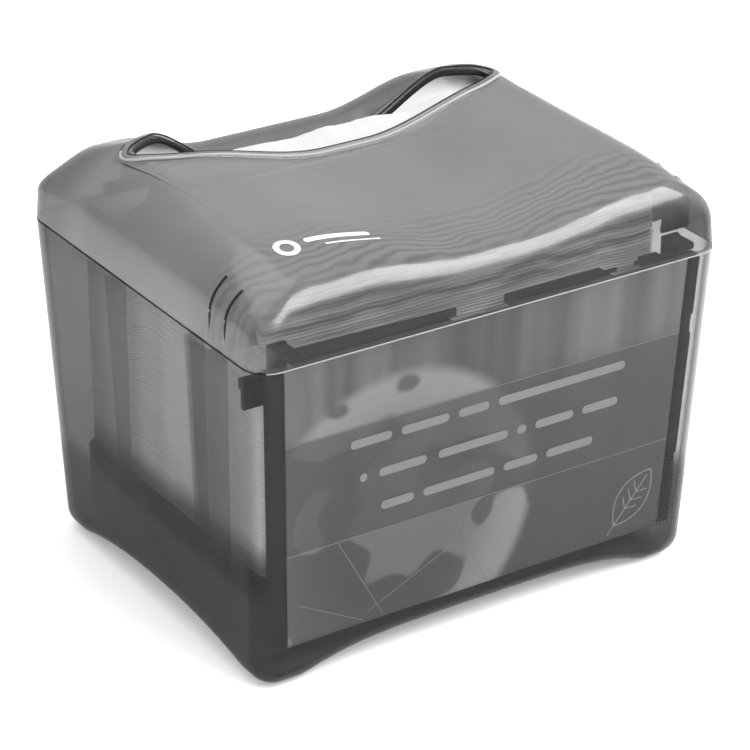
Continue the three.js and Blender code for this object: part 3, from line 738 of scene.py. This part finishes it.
def seam_ring(inset, lift):
    points, _ = outline(
        WIDTH / 2 - inset, -DEPTH / 2 + inset, DEPTH / 2 - inset, CORNER_R - inset
    )
    return ring_at(points, SEAM_Z + GAP / 2 + lift)


LIP_INSET = 3.6  # from the front of the case to the front of the strips
LIP_THICK = 0.8
LIP_LIFT = 0.4  # over the seam
# Each strip's left and right end and its height at both.
FRONT_LIP_SHADE_STRIPS = [(-86, -16, 4.6, 3.0), (11, 52, 1.6, 1.2), (60, 84, 1.4, 1.4)]
GUSSET_ROWS = ((-51, "rear"), (-61, "front"))
GUSSET_THICK = 1.6
GUSSET_REACH = 12.4  # inwards from the side; the stack starts 14 mm in
GUSSET_EDGE_TURN = 47  # degrees of the side roll that the dark edge follows
GUSSET_EDGE_R = 0.95
GUSSET_EDGE_INSET = 0.55
SEAM_LINE_R = 0.26


def gusset(side, y):
    """A rib across the rolled front corner that fills the space under the lid's side roll."""
    inner = WIDTH / 2 - GUSSET_REACH
    section = [(inner, SEAM_Z + 1.0), (WIDTH / 2 - 1.4, SEAM_Z + 1.0)]
    for turn in TURNS:
        share = 1 - math.cos(math.radians(turn))
        x = WIDTH / 2 - LID_DRAFT - SIDE_ROLL * share - LID_WALL / 2
        if x > inner:
            top = float(lid_top(x, y)) - LID_WALL / 2
            section.append((x, lerp(SIDE_ROLL_Z, top, math.sin(math.radians(turn)))))
    rings = [[(side * x, y + along, z) for x, z in section] for along in (0, GUSSET_THICK)]
    return capped(rings if side > 0 else rings[::-1])


def gusset_edge(side, y):
    """The dark outer edge of a gusset: a rod that breaks a little through the lid's skin."""
    path = [(side * (WIDTH / 2 - 1.2), y, SEAM_Z + 1.5)]
    for turn in TURNS:
        if turn > GUSSET_EDGE_TURN:
            break
        share = 1 - math.cos(math.radians(turn))
        x = WIDTH / 2 - LID_DRAFT - SIDE_ROLL * share - GUSSET_EDGE_INSET
        top = float(lid_top(x, y)) - GUSSET_EDGE_INSET
        path.append((side * x, y, lerp(SIDE_ROLL_Z, top, math.sin(math.radians(turn)))))
    return tube(path, GUSSET_EDGE_R)


def slot_lips():
    """Lines of the slot's rolled rim, for looks: dark edges, and a painted highlight along the root
    in front.
    """
    slot, normals = slot_outline()
    rear = slot[:, 1] > SLOT_Y + 3

    def rim_line(name, out, rise, radius, material, keep=None):
        """A rod out from the slot's edge and up from the lid, whole or where keep is true."""
        points = slot + out * normals
        path = ring_at(points, lid_top(*points.T) + rise)
        if keep is not None:
            start = int(np.argmax(keep & ~np.roll(keep, 1)))
            path = np.roll(path, -start, axis=0)[: int(keep.sum())]
        mesh = tube(path, radius, closed=keep is None)
        settle(make_object(f"lid_slot_{name}", *mesh, material), "lid", "lid_smoke")

    rim_line("lip", 0.3, -1.5, 0.95, RIM_PLASTIC)
    rim_line("edge", 0.7, 1.15, 0.34, RIM_PLASTIC)
    rim_line("root_rear", 3.9, 0.35, 0.34, RIM_PLASTIC, rear)
    # Painted highlight: a pale rod along the bead's root in front.
    rim_line("root_painted_highlight", 3.3, 0.75, 0.6, PAINTED_HIGHLIGHT_RIM, ~rear)


def front_lips_and_shade():
    """Dark strips inside the lid's front wall, for looks: they stand for the lid's inner lip and
    are painted shade under the stack's front edge; no CAD node stands behind them.
    """
    for k, (x0, x1, rise0, rise1) in enumerate(FRONT_LIP_SHADE_STRIPS, 1):
        rings = []
        for x, rise in ((x0, rise0), (x1, rise1)):
            front, low = LIP_INSET - DEPTH / 2, SEAM_Z + LIP_LIFT
            back, high = front + LIP_THICK, low + rise
            rings.append([(x, front, low), (x, back, low), (x, back, high), (x, front, high)])
        strip = make_object(f"lid_front_lip_shade_{k}", *capped(rings), RIM_PLASTIC)
        settle(strip, "lid", "lid_smoke")


def seam_lines():
    """Lines on the case's rim, for looks: a painted highlight in front, and painted shadow in the
    seam under the lid elsewhere.
    """
    z = SEAM_Z - GAP / 2 - SEAM_LINE_R
    path = ring_at(case_outline(z, SEAM_LINE_R), z)
    front = path[:, 1] < CORNER_R - DEPTH / 2 - 8
    first = int(np.argmax(front))
    last = first + int(front.sum())
    around = np.vstack([path[last:], path[:first]])
    # Painted highlight along the front of the rim.
    bright = make_object("case_rim_painted_highlight", *tube(path[first:last], SEAM_LINE_R), PAINTED_HIGHLIGHT_RIM)
    settle(bright, "case", "case_smoke")
    # Painted shadow along the seam under the lid.
    dark = make_object("case_rim_painted_shadow", *tube(around, SEAM_LINE_R), RIM_PLASTIC)
    settle(dark, "case", "case_smoke")


def lid_shell():
    rings = [seam_ring(inset, lift) for inset, lift in reversed(RIM_ROUND)]
    rings += lid_rings(0)
    rings += bead_rings()
    rings += lid_rings(LID_WALL)[::-1]
    rings += [seam_ring(LID_WALL - inset, lift) for inset, lift in RIM_ROUND]
    shell = make_object("lid_shell_moulded", *skin(rings, closed=True), LID_PLASTIC, 60)
    settle(shell, "lid", "lid_smoke", "lid_shell")
    for side, word in ((-1, "left"), (1, "right")):
        for y, place in GUSSET_ROWS:
            rib = make_object(f"lid_gusset_{place}_{word}", *gusset(side, y), GUSSET_PLASTIC)
            settle(rib, "lid", "lid_smoke")
            edge = gusset_edge(side, y + GUSSET_THICK / 2)
            line = make_object(f"lid_gusset_edge_{place}_{word}", *edge, RIM_PLASTIC)
            settle(line, "lid", "lid_smoke")


# ---------- napkins

STACK_BOTTOM = 1000 * STACK_LOW.z
STACK_CREST_Z = 1000 * STACK_HIGH.z
STACK_REAR_Z = 135
LAYERS = 90
STACK_NAME = "napkin_stack_folded"
STACK_INSET = 0.6  # some room for the uneven layers
STACK_CORNER_R = 2.5
FOLD_PITCH = 3.6
# Painted light: over 1, so over full white; less would be too dark behind the smoky walls.
PAINTED_LIGHT_GAIN = 1.22
CORNER_PAINTED_LIGHT = 1.2  # painted light, added at the front corners
# One layer's section, as share of its height and bulge.
LAYER_SECTION = ((0.06, -0.45), (0.3, 0.25), (0.62, 0.3), (0.94, -0.4))
NAPKIN_RIDGE_Z = 151.2
PLY_METRES = 0.00022


def stack_top(x, y):
    """Top of the stack: pressed up against the lid in front of the slot, lower behind it."""
    under_lid = float(lid_top(0.0, y)) - LID_WALL - 1.6
    side_rise = 3.2 * float(smoothstep(12, 70, abs(x))) * float(smoothstep(-62, -40, y))
    front_droop = 1.2 * (1 - float(smoothstep(-59, -50, y)))
    front = min(under_lid, STACK_CREST_Z) + side_rise - front_droop
    plain = lerp(front, STACK_REAR_Z, float(smoothstep(14, 46, y)))
    return plain - 0.5 + 0.9 * grain(x / 26, y / 15, 3.1) + 0.45 * grain(x / 9, y / 7, 8.2)


def stack_painted_light_and_shade(x, y, z):
    """How light the paper is, with painted light and shade: painted shade at the foot, rear and
    top, painted light over full white and at the front corners, streaked, and lines of painted
    shade along the front folds.
    """
    # Painted shade at the foot of the stack, towards its rear and over its top.
    uneven = 3 * grain(y / 18, x / 18, 6.0)
    foot = lerp(0.25, 1, float(smoothstep(0, 14, z - STACK_BOTTOM + uneven)))
    top = float(smoothstep(131, 134, z))
    rear = lerp(lerp(1, 0.45, float(smoothstep(14, 66, y))), 0.74, top)
    corner = (1 - float(smoothstep(-68, -60, y))) * float(smoothstep(60, 72, abs(x)))
    # Painted light: the gains lift the paper over full white and brighten the front corners; the
    # grain adds random streaks.
    streak = PAINTED_LIGHT_GAIN + CORNER_PAINTED_LIGHT * corner + 0.3 * grain(y / 9, x / 14, z / 260)
    # Painted shade: dark lines in the grooves along the front folds near the top.
    along = y + 2.2 * grain(x / 24, y / 40, 4.1) + 0.7 * grain(x / 7, y / 9, 2.6) - 0.6 * z
    fold = 0.5 + 0.5 * math.sin(2 * math.pi * along / FOLD_PITCH)
    near_front = 1 - float(smoothstep(-58, -46, y))
    high = float(smoothstep(118, 128, z))
    return foot * rear * streak * (1 - 0.62 * near_front * high * fold**2)


def napkin_stack():
    """The stack as layers with uneven edges, and a top pressed to the lid's shape."""
    half_x = 1000 * STACK_HIGH.x - STACK_INSET
    front = 1000 * STACK_LOW.y - CASE_Y + STACK_INSET
    rear = 1000 * STACK_HIGH.y - CASE_Y - STACK_INSET
    base, normals = outline(half_x, front, rear, STACK_CORNER_R)
    tops = np.array([stack_top(x, y) for x, y in base])
    rings = []
    for layer in range(LAYERS):
        share = (layer + 0.5) / LAYERS
        loose = share**4
        slip = np.array([
            0.35 * grain(x / 60, y / 60, layer * 0.9)
            + 0.9 * loose * grain(x / 22, y / 30, layer * 1.7)
            for x, y in base
        ])
        wave = np.array([
            loose * (1.5 * grain(x / 24, y / 24, 2.0) + 0.6 * grain(x / 8, y / 8, layer * 0.35))
            for x, y in base
        ])
        for part, bulge in LAYER_SECTION:
            height = (layer + part) / LAYERS
            z = lerp(STACK_BOTTOM, tops - 1.5, height) + wave
            points = base + normals * (slip + bulge)[:, None]
            rings.append(ring_at(points, z))
    middle = np.array([0, (front + rear) / 2])
    for share in 0.985 - 0.95 * np.linspace(0, 1, 48) ** 1.15:
        points = middle + (base - middle) * share
        z = np.array([stack_top(x, y) for x, y in points])
        round_over = 0.8 * smoothstep(0.93, 1.0, share)
        rings.append(ring_at(points, z - round_over))
    vertices, faces = capped(rings)
    stack = make_object(STACK_NAME, vertices, faces, STACK_PAPER)
    # The shade attribute holds the painted light and shade.
    paint(stack, "shade", [c for p in vertices for c in grey(stack_painted_light_and_shade(*p))])
    settle(stack, "case", "napkin_paper", "napkin_stack")
    squash_stack(stack)


def squash_stack(obj):
    """Gives the paper its own copy of its mesh."""
    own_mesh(obj)


def top_napkin():
    """The napkin that stands up into the slot: one thin ply rising to a wavy ridge."""
    columns, half = 160, 1000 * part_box("top_napkin")[1].x
    rows = []
    for k in range(columns + 1):
        x = lerp(-half, half, k / columns)
        ridge = NAPKIN_RIDGE_Z + 1.3 * float(smoothstep(-58, -30, x))
        ridge += 2.2 * float(smoothstep(35, 60, x))
        ridge += 0.55 * math.sin(x / 8.5) + 0.3 * math.sin(x / 3.9 + 1)
        keys = [
            (21, STACK_CREST_Z + 0.4),
            (26, STACK_CREST_Z + 0.9),
            (31, lerp(STACK_CREST_Z, ridge, 0.7)),
            (35, ridge - 0.3),
            (37, ridge),
            (39.5, ridge - 0.9),
            (43, (ridge + STACK_REAR_Z) / 2 + 2),
            (46, STACK_REAR_Z + 4),
            (48, STACK_REAR_Z + 0.8),
        ]
        ys, zs = zip(*keys)
        row = []
        for y in np.linspace(ys[0], ys[-1], 60):
            z = np.interp(y, ys, zs)
            ripple = 0.3 * grain(x / 7, y / 9, 5.0) + 0.12 * grain(x / 2.5, y / 3, 9.0)
            row.append((x, y + 0.6 * ripple, z + ripple))
        rows.append(row)
    vertices, faces = skin(np.array(rows), around=False)
    sheet = make_object("top_napkin_ply", vertices, [f[::-1] for f in faces], NAPKIN_PAPER_PAINTED_SHADE, 80)
    ply = sheet.modifiers.new("ply", "SOLIDIFY")
    ply.thickness = PLY_METRES
    settle(sheet, "case", "napkin_paper", "top_napkin")
    squash_stack(sheet)


# ---------- printed insert

FILM_HALF_X = 84
FILM_LOW_Z = 14.5
FILM_TOP_Z = 124.5
FILM_DEPTH = 1.3  # behind the inner face of the front wall
FILM_THICK = 0.3
PRINT_LIFT = 0.12  # bars and lines in front of the film
BAND_LOW_Z = 51.5
BAND_TOP_Z = 95
DISC_X = -38
DISC_Z = 52
DISC_R = 60
# Height of each row of bars, and each bar's left and right end.
BAR_ROWS = [
    (88.5, [(-58, -41), (-37, -17), (-13, 0), (4, 60)]),
    (74.5, [(-54, -51), (-46, -26), (-21, 9), (13, 17), (21, 38), (42, 58)]),
    (61.0, [(-45, -31), (-27, 4), (8, 23), (27, 48)]),
]
BAR_HEIGHT = 3.4
BAND_LINE = 0.35
THIN_LINE = 0.3
LEAF_PLACE = (70, 30.5)
LEAF_SIZE = 25
LEAF_LINE = 0.55
LEAF_LEAN = math.radians(52)
MARK_PLACE = (-67.5, -52)  # the ring on the lid
MARK_R = 3.6
MARK_LINE = 2.2
MARK_LIFT = 0.06


def on_front(x, z, depth):
    """A point on the leaning front wall's inside, narrowed as the case is."""
    share = inner_half_x(z) / inner_half_x(SEAM_Z)
    return (x * share, depth - inner_half_y(z), z)


def ink(x, z):
    """Grey of the print: a pale disc behind a darker band, under soft upright streaks."""
    streak = 0.5 + 0.6 * grain(x / 12, z / 160, 1.3) + 0.35 * grain(x / 5, z / 120, 4.4)
    shadow = 1 - 0.55 * math.exp(-((x + 12 + 0.5 * (z - 110)) / 26) ** 2)
    upper = 0.15 + 0.33 * streak * shadow * float(smoothstep(78, 104, z))
    away = math.hypot(x - DISC_X, z - DISC_Z) - DISC_R
    inside = 1 - float(smoothstep(-4, 2, away))
    glow = float(smoothstep(-34, -4, away))
    bias = 0.25 * (x + 20) / DISC_R + 0.34 * float(smoothstep(60, 96, z))
    land = float(smoothstep(-0.02, 0.1, grain(x / 17, z / 15, 7.7) - bias))
    disc = lerp(0.36 + 0.34 * glow, 0.13 + 0.1 * glow, land)
    tone = lerp(upper, disc, inside)
    if BAND_LOW_Z < z < BAND_TOP_Z:
        tone = lerp(tone, 0.13 + 0.05 * streak, 0.82)
    return 0.76 * max(0.03, tone) * (1 + 0.05 * grain(x / 3, z / 3, 2.2))


def insert_film():
    """The insert as one thin sheet whose vertex colours are the print."""
    columns, rows = 260, 170
    grid, colours = [], []
    for j in range(rows + 1):
        z = lerp(FILM_LOW_Z, FILM_TOP_Z, j / rows)
        line = []
        for i in range(columns + 1):
            x = lerp(-FILM_HALF_X, FILM_HALF_X, i / columns)
            line.append(on_front(x, z, FILM_DEPTH + FILM_THICK / 2))
            colours += [*[ink(x, z)] * 3, 1.0]
        grid.append(line)
    film = make_object("insert_film_printed", *skin(np.array(grid), around=False), FILM_PRINT)
    paint(film, "ink", colours)
    thick = film.modifiers.new("film", "SOLIDIFY")
    thick.thickness = FILM_THICK / 1000
    settle(film, "case", "print_film", "insert_sheet")


def stroke(points, widths, place):
    """A flat ribbon along 2D points, laid on a surface by place(u, v)."""
    points = np.asarray(points, float)
    span = np.gradient(points, axis=0)
    span /= np.linalg.norm(span, axis=1)[:, None]
    normals = np.column_stack([-span[:, 1], span[:, 0]])
    half = np.reshape(np.broadcast_to(widths, len(points)), (-1, 1)) / 2
    rows = [
        [place(*p) for p in (a, middle, b)]
        for a, middle, b in zip(points - normals * half, points, points + normals * half)
    ]
    return skin(np.array(rows), around=False)


def bar(u0, u1, v, height, place):
    """A straight ribbon with round ends."""
    along = np.linspace(0, math.pi, 24)
    u = (u0 + u1) / 2 - (u1 - u0) / 2 * np.cos(along)
    end = np.minimum(1, np.minimum(u - u0, u1 - u) / (height / 2))
    widths = np.maximum(0.02, height * np.sqrt(1 - (1 - end) ** 2))
    return stroke(np.column_stack([u, np.full(len(u), v)]), widths, place)


def straight(a, b, width, place):
    share = np.linspace(0, 1, 30)[:, None]
    return stroke(lerp(np.array(a, float), np.array(b, float), share), width, place)


def leaf(centre, size, width, place):
    """An outlined leaf: two bowed edges, a midrib and side veins."""
    t = np.linspace(0, 1, 32)
    axis = np.array([math.cos(LEAF_LEAN), math.sin(LEAF_LEAN)])
    across = np.array([-axis[1], axis[0]])
    parts = []
    for side in (-1, 1):
        bow = side * 0.3 * size * np.sin(math.pi * t) ** 0.8
        edge = centre + np.outer((t - 0.5) * size, axis) + np.outer(bow, across)
        parts.append(stroke(edge, width, place))
        for root in (0.3, 0.45, 0.6):
            start = centre + axis * size * (root - 0.5)
            reach = start + (axis * 0.13 + across * side * 0.17) * size
            parts.append(straight(start, reach, width * 0.8, place))
    parts.append(straight(centre - axis * size * 0.68, centre + axis * size * 0.4, width, place))
    return merged(parts)


def prints():
    """What is printed over the film: rows of plain bars, thin lines and a leaf."""

    def place(x, z):
        return on_front(x, z, FILM_DEPTH - PRINT_LIFT)

    bars = [bar(a, b, z, BAR_HEIGHT, place) for z, row in BAR_ROWS for a, b in row]
    rows = make_object("insert_print_bars", *merged(bars), PALE_INK)
    settle(rows, "case", "print_film")
    lines = [
        straight((-FILM_HALF_X, BAND_TOP_Z), (FILM_HALF_X, BAND_TOP_Z), BAND_LINE, place),
        straight((-FILM_HALF_X, BAND_LOW_Z), (FILM_HALF_X, BAND_LOW_Z), BAND_LINE, place),
        straight((-63, BAND_LOW_Z), (-43, FILM_LOW_Z + 1), THIN_LINE, place),
        straight((-14, BAND_LOW_Z), (3, FILM_LOW_Z + 1), THIN_LINE, place),
        straight((-50, 19), (-12, 36), THIN_LINE, place),
        straight((-80, 31), (-52, 16), THIN_LINE, place),
    ]
    rules = make_object("insert_print_lines", *merged(lines), LINE_INK)
    settle(rules, "case", "print_film")
    outlined = leaf(np.array(LEAF_PLACE), LEAF_SIZE, LEAF_LINE, place)
    sprig = make_object("insert_print_leaf", *outlined, PALE_INK)
    settle(sprig, "case", "print_film")


def lid_mark():
    """A plain printed mark on the lid: a ring and two bars."""

    def place(x, y):
        return (x, y, float(lid_top(x, y)) + MARK_LIFT)

    angles = np.linspace(0, 2 * math.pi, 49)
    circle = MARK_PLACE + MARK_R * np.column_stack([np.cos(angles), np.sin(angles)])
    parts = [
        stroke(circle, MARK_LINE, place),
        bar(-60, -34, -50.6, 2.6, place),
        bar(-54, -32, -54.6, 0.9, place),
    ]
    mark = make_object("lid_printed_mark", *merged(parts), WHITE_INK)
    settle(mark, "lid", "lid_smoke")


# ---------- hardware


SPRING_WIRE = 1.6
SPRING_TURNS = 5
SPRING_LOW_R = 10.5
SPRING_HIGH_R = 8.3
CHAMFER = 0.4


def springs():
    """Two coils, a little narrower at the top, with level ends."""
    for side in SIDES:
        low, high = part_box(f"spring_{side}")
        middle = 500 * (low + high)
        wire_r = SPRING_WIRE / 2
        z0, z1 = 1000 * low.z + wire_r, 1000 * high.z - wire_r
        rings = []
        for t in np.linspace(0, 1, SPRING_TURNS * 40 + 1):
            angle = 2 * math.pi * SPRING_TURNS * t
            radius = lerp(SPRING_LOW_R, SPRING_HIGH_R, t)
            flat_end = min(1.0, max(0.0, (t - 0.1) / 0.8))
            out = np.array([math.cos(angle), math.sin(angle), 0])
            centre = out * radius + (middle.x, middle.y - CASE_Y, lerp(z0, z1, flat_end))
            around = np.linspace(0, 2 * math.pi, 12, endpoint=False)
            rings.append([
                centre + wire_r * (math.cos(a) * out + math.sin(a) * np.array([0, 0, 1]))
                for a in around
            ])
        coil = make_object(f"spring_{side}_coil", *capped(rings), SPRING_STEEL)
        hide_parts(f"spring_{side}")
        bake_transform(coil)


def feet():
    for end in ENDS:
        for side in SIDES:
            low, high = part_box(f"rubber_foot_{end}_{side}")
            middle = 500 * (low + high)
            radius = 500 * (high.x - low.x)
            top = 1000 * high.z
            profile = [
                (radius - 2.6, 0.5), (radius - 2.0, 0.12), (radius - 1.2, 0),
                (radius - 0.4, 0.1), (radius, 0.5), (radius, top - 0.1), (radius - 0.2, top),
            ]
            pad = lathe(profile, (middle.x, middle.y - CASE_Y, 0))
            obj = make_object(f"rubber_foot_{end}_{side}_pad", *pad, FOOT_RUBBER)
            settle(obj, "case", "foot_rubber", f"rubber_foot_{end}_{side}")


def hinge_pins():
    for side in SIDES:
        low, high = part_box(f"hinge_pin_{side}")
        middle = 500 * (low + high)
        radius = 500 * (high.z - low.z)
        ends = 1000 * low.x, 1000 * high.x
        profile = [
            (radius - CHAMFER, ends[0]), (radius, ends[0] + CHAMFER),
            (radius, ends[1] - CHAMFER), (radius - CHAMFER, ends[1]),
        ]
        pin = lathe(profile, (0, middle.y - CASE_Y, middle.z), axis="x")
        obj = make_object(f"hinge_pin_{side}_turned", *pin, SPRING_STEEL)
        settle(obj, "case", "spring_steel", f"hinge_pin_{side}")


def moulded_parts():
    """The small mouldings and screws, which keep the CAD nodes' own shapes."""
    refined("platform", INNER_PLASTIC, "platform", "inner_plastic")
    refined("floor_plate", INNER_PLASTIC, "case", "inner_plastic")
    refined("insert_frame", FRAME_PLASTIC, "case", "frame_plastic", 0.3)
    for side in SIDES:
        refined(f"guide_channel_{side}", GUIDE_PLASTIC, "case", "guide_smoke", 0.2)
        refined(f"guide_rib_{side}", GUIDE_PLASTIC, "case", "guide_smoke", 0.2)
        refined(f"hinge_bracket_{side}", CASE_PLASTIC, "case", "hinge_plastic", 0.3)
        refined(f"hinge_arm_{side}", LID_PLASTIC, "lid", "hinge_plastic", 0.3)
        refined(f"latch_catch_{side}", LATCH_PLASTIC, "case", "latch_plastic", 0.3)
        refined(f"latch_hook_{side}", LATCH_PLASTIC, "lid", "latch_plastic", 0.3)
        for end in ENDS:
            refined(f"floor_screw_{end}_{side}", SPRING_STEEL, "case", "screw_steel", 0.1)


# ---------- floor, light and camera


FLOOR_HALF = 3.0  # metres
FLOOR_GREY = 0.93
FLOOR_GLOW = 0.2  # keeps the floor white close to the dispenser
LENS_MM = 144
SENSOR_MM = 36
CAMERA_PLACE = (-0.54045, -0.83017, 0.56153)
CAMERA_BACK = (-0.49047, -0.74841, 0.44645)  # from what it looks at to the camera
CAMERA_YAW = math.radians(-33.239)
CAMERA_ROLL = math.radians(0.259)


def floor():
    half = FLOOR_HALF
    mesh = bpy.data.meshes.new("floor")
    corners = [(-half, -half, 0), (half, -half, 0), (half, half, 0), (-half, half, 0)]
    mesh.from_pydata(corners, [], [(0, 1, 2, 3)])
    n = Nodes("pale floor")
    shade = n.add("ShaderNodeBsdfDiffuse", Color=grey(FLOOR_GREY))
    glow = n.add("ShaderNodeEmission", Strength=FLOOR_GLOW)
    both = n.tree.nodes.new("ShaderNodeAddShader")
    n.feed(both.inputs[0], shade.outputs[0])
    n.feed(both.inputs[1], glow.outputs[0])
    mesh.materials.append(n.done(both.outputs[0]))
    ground = new_object("floor", mesh)


def softbox(name, direction, distance, size, power, target):
    light = bpy.data.lights.new(name, "AREA")
    light.shape = "RECTANGLE"
    light.size, light.size_y = size
    light.energy = power
    lamp = new_object(name, light)
    lamp.location = Vector(target) + Vector(direction).normalized() * distance
    lamp.rotation_mode = "QUATERNION"
    lamp.rotation_quaternion = (-Vector(direction)).to_track_quat("-Z", "Y")


def lights():
    world = bpy.data.worlds.new("studio")
    world.use_nodes = True
    backdrop = world.node_tree.nodes["Background"]
    backdrop.inputs["Color"].default_value = (1, 1, 1, 1)
    backdrop.inputs["Strength"].default_value = 1.0
    bpy.context.scene.world = world
    softbox(
        "strip light", direction=(0.49, -0.446, 0.748), distance=1.2, size=(1.8, 0.5), power=34,
        target=(0, -0.08, 0.145),
    )
    softbox(
        "overhead", direction=(-0.1, 0.25, 1.0), distance=1.4, size=(1.4, 1.4), power=8,
        target=(0, 0, 0.1),
    )


def camera():
    back = Vector(CAMERA_BACK).normalized()
    right = Vector((math.cos(CAMERA_YAW), math.sin(CAMERA_YAW), 0))
    up = back.cross(right)
    side = math.cos(CAMERA_ROLL) * right + math.sin(CAMERA_ROLL) * up
    rise = math.cos(CAMERA_ROLL) * up - math.sin(CAMERA_ROLL) * right
    lens = bpy.data.cameras.new("camera")
    lens.sensor_width = SENSOR_MM
    lens.lens = LENS_MM
    lens.clip_start, lens.clip_end = 0.05, 20
    eye = new_object("camera", lens)
    rotation = Matrix([side, rise, back]).transposed()
    eye.matrix_world = Matrix.Translation(CAMERA_PLACE) @ rotation.to_4x4()
    bpy.context.scene.camera = eye


def tone():
    scene = bpy.context.scene
    scene.view_settings.view_transform = "Standard"
    scene.cycles.transparent_max_bounces = 40
    scene.cycles.max_bounces = 10
    scene.cycles.use_denoising = True


camera()
lights()
floor()
tone()
case_shell()
bosses()
seam_lines()
lid_shell()
slot_lips()
front_lips_and_shade()
napkin_stack()
top_napkin()
insert_film()
prints()
lid_mark()
springs()
feet()
hinge_pins()
moulded_parts()
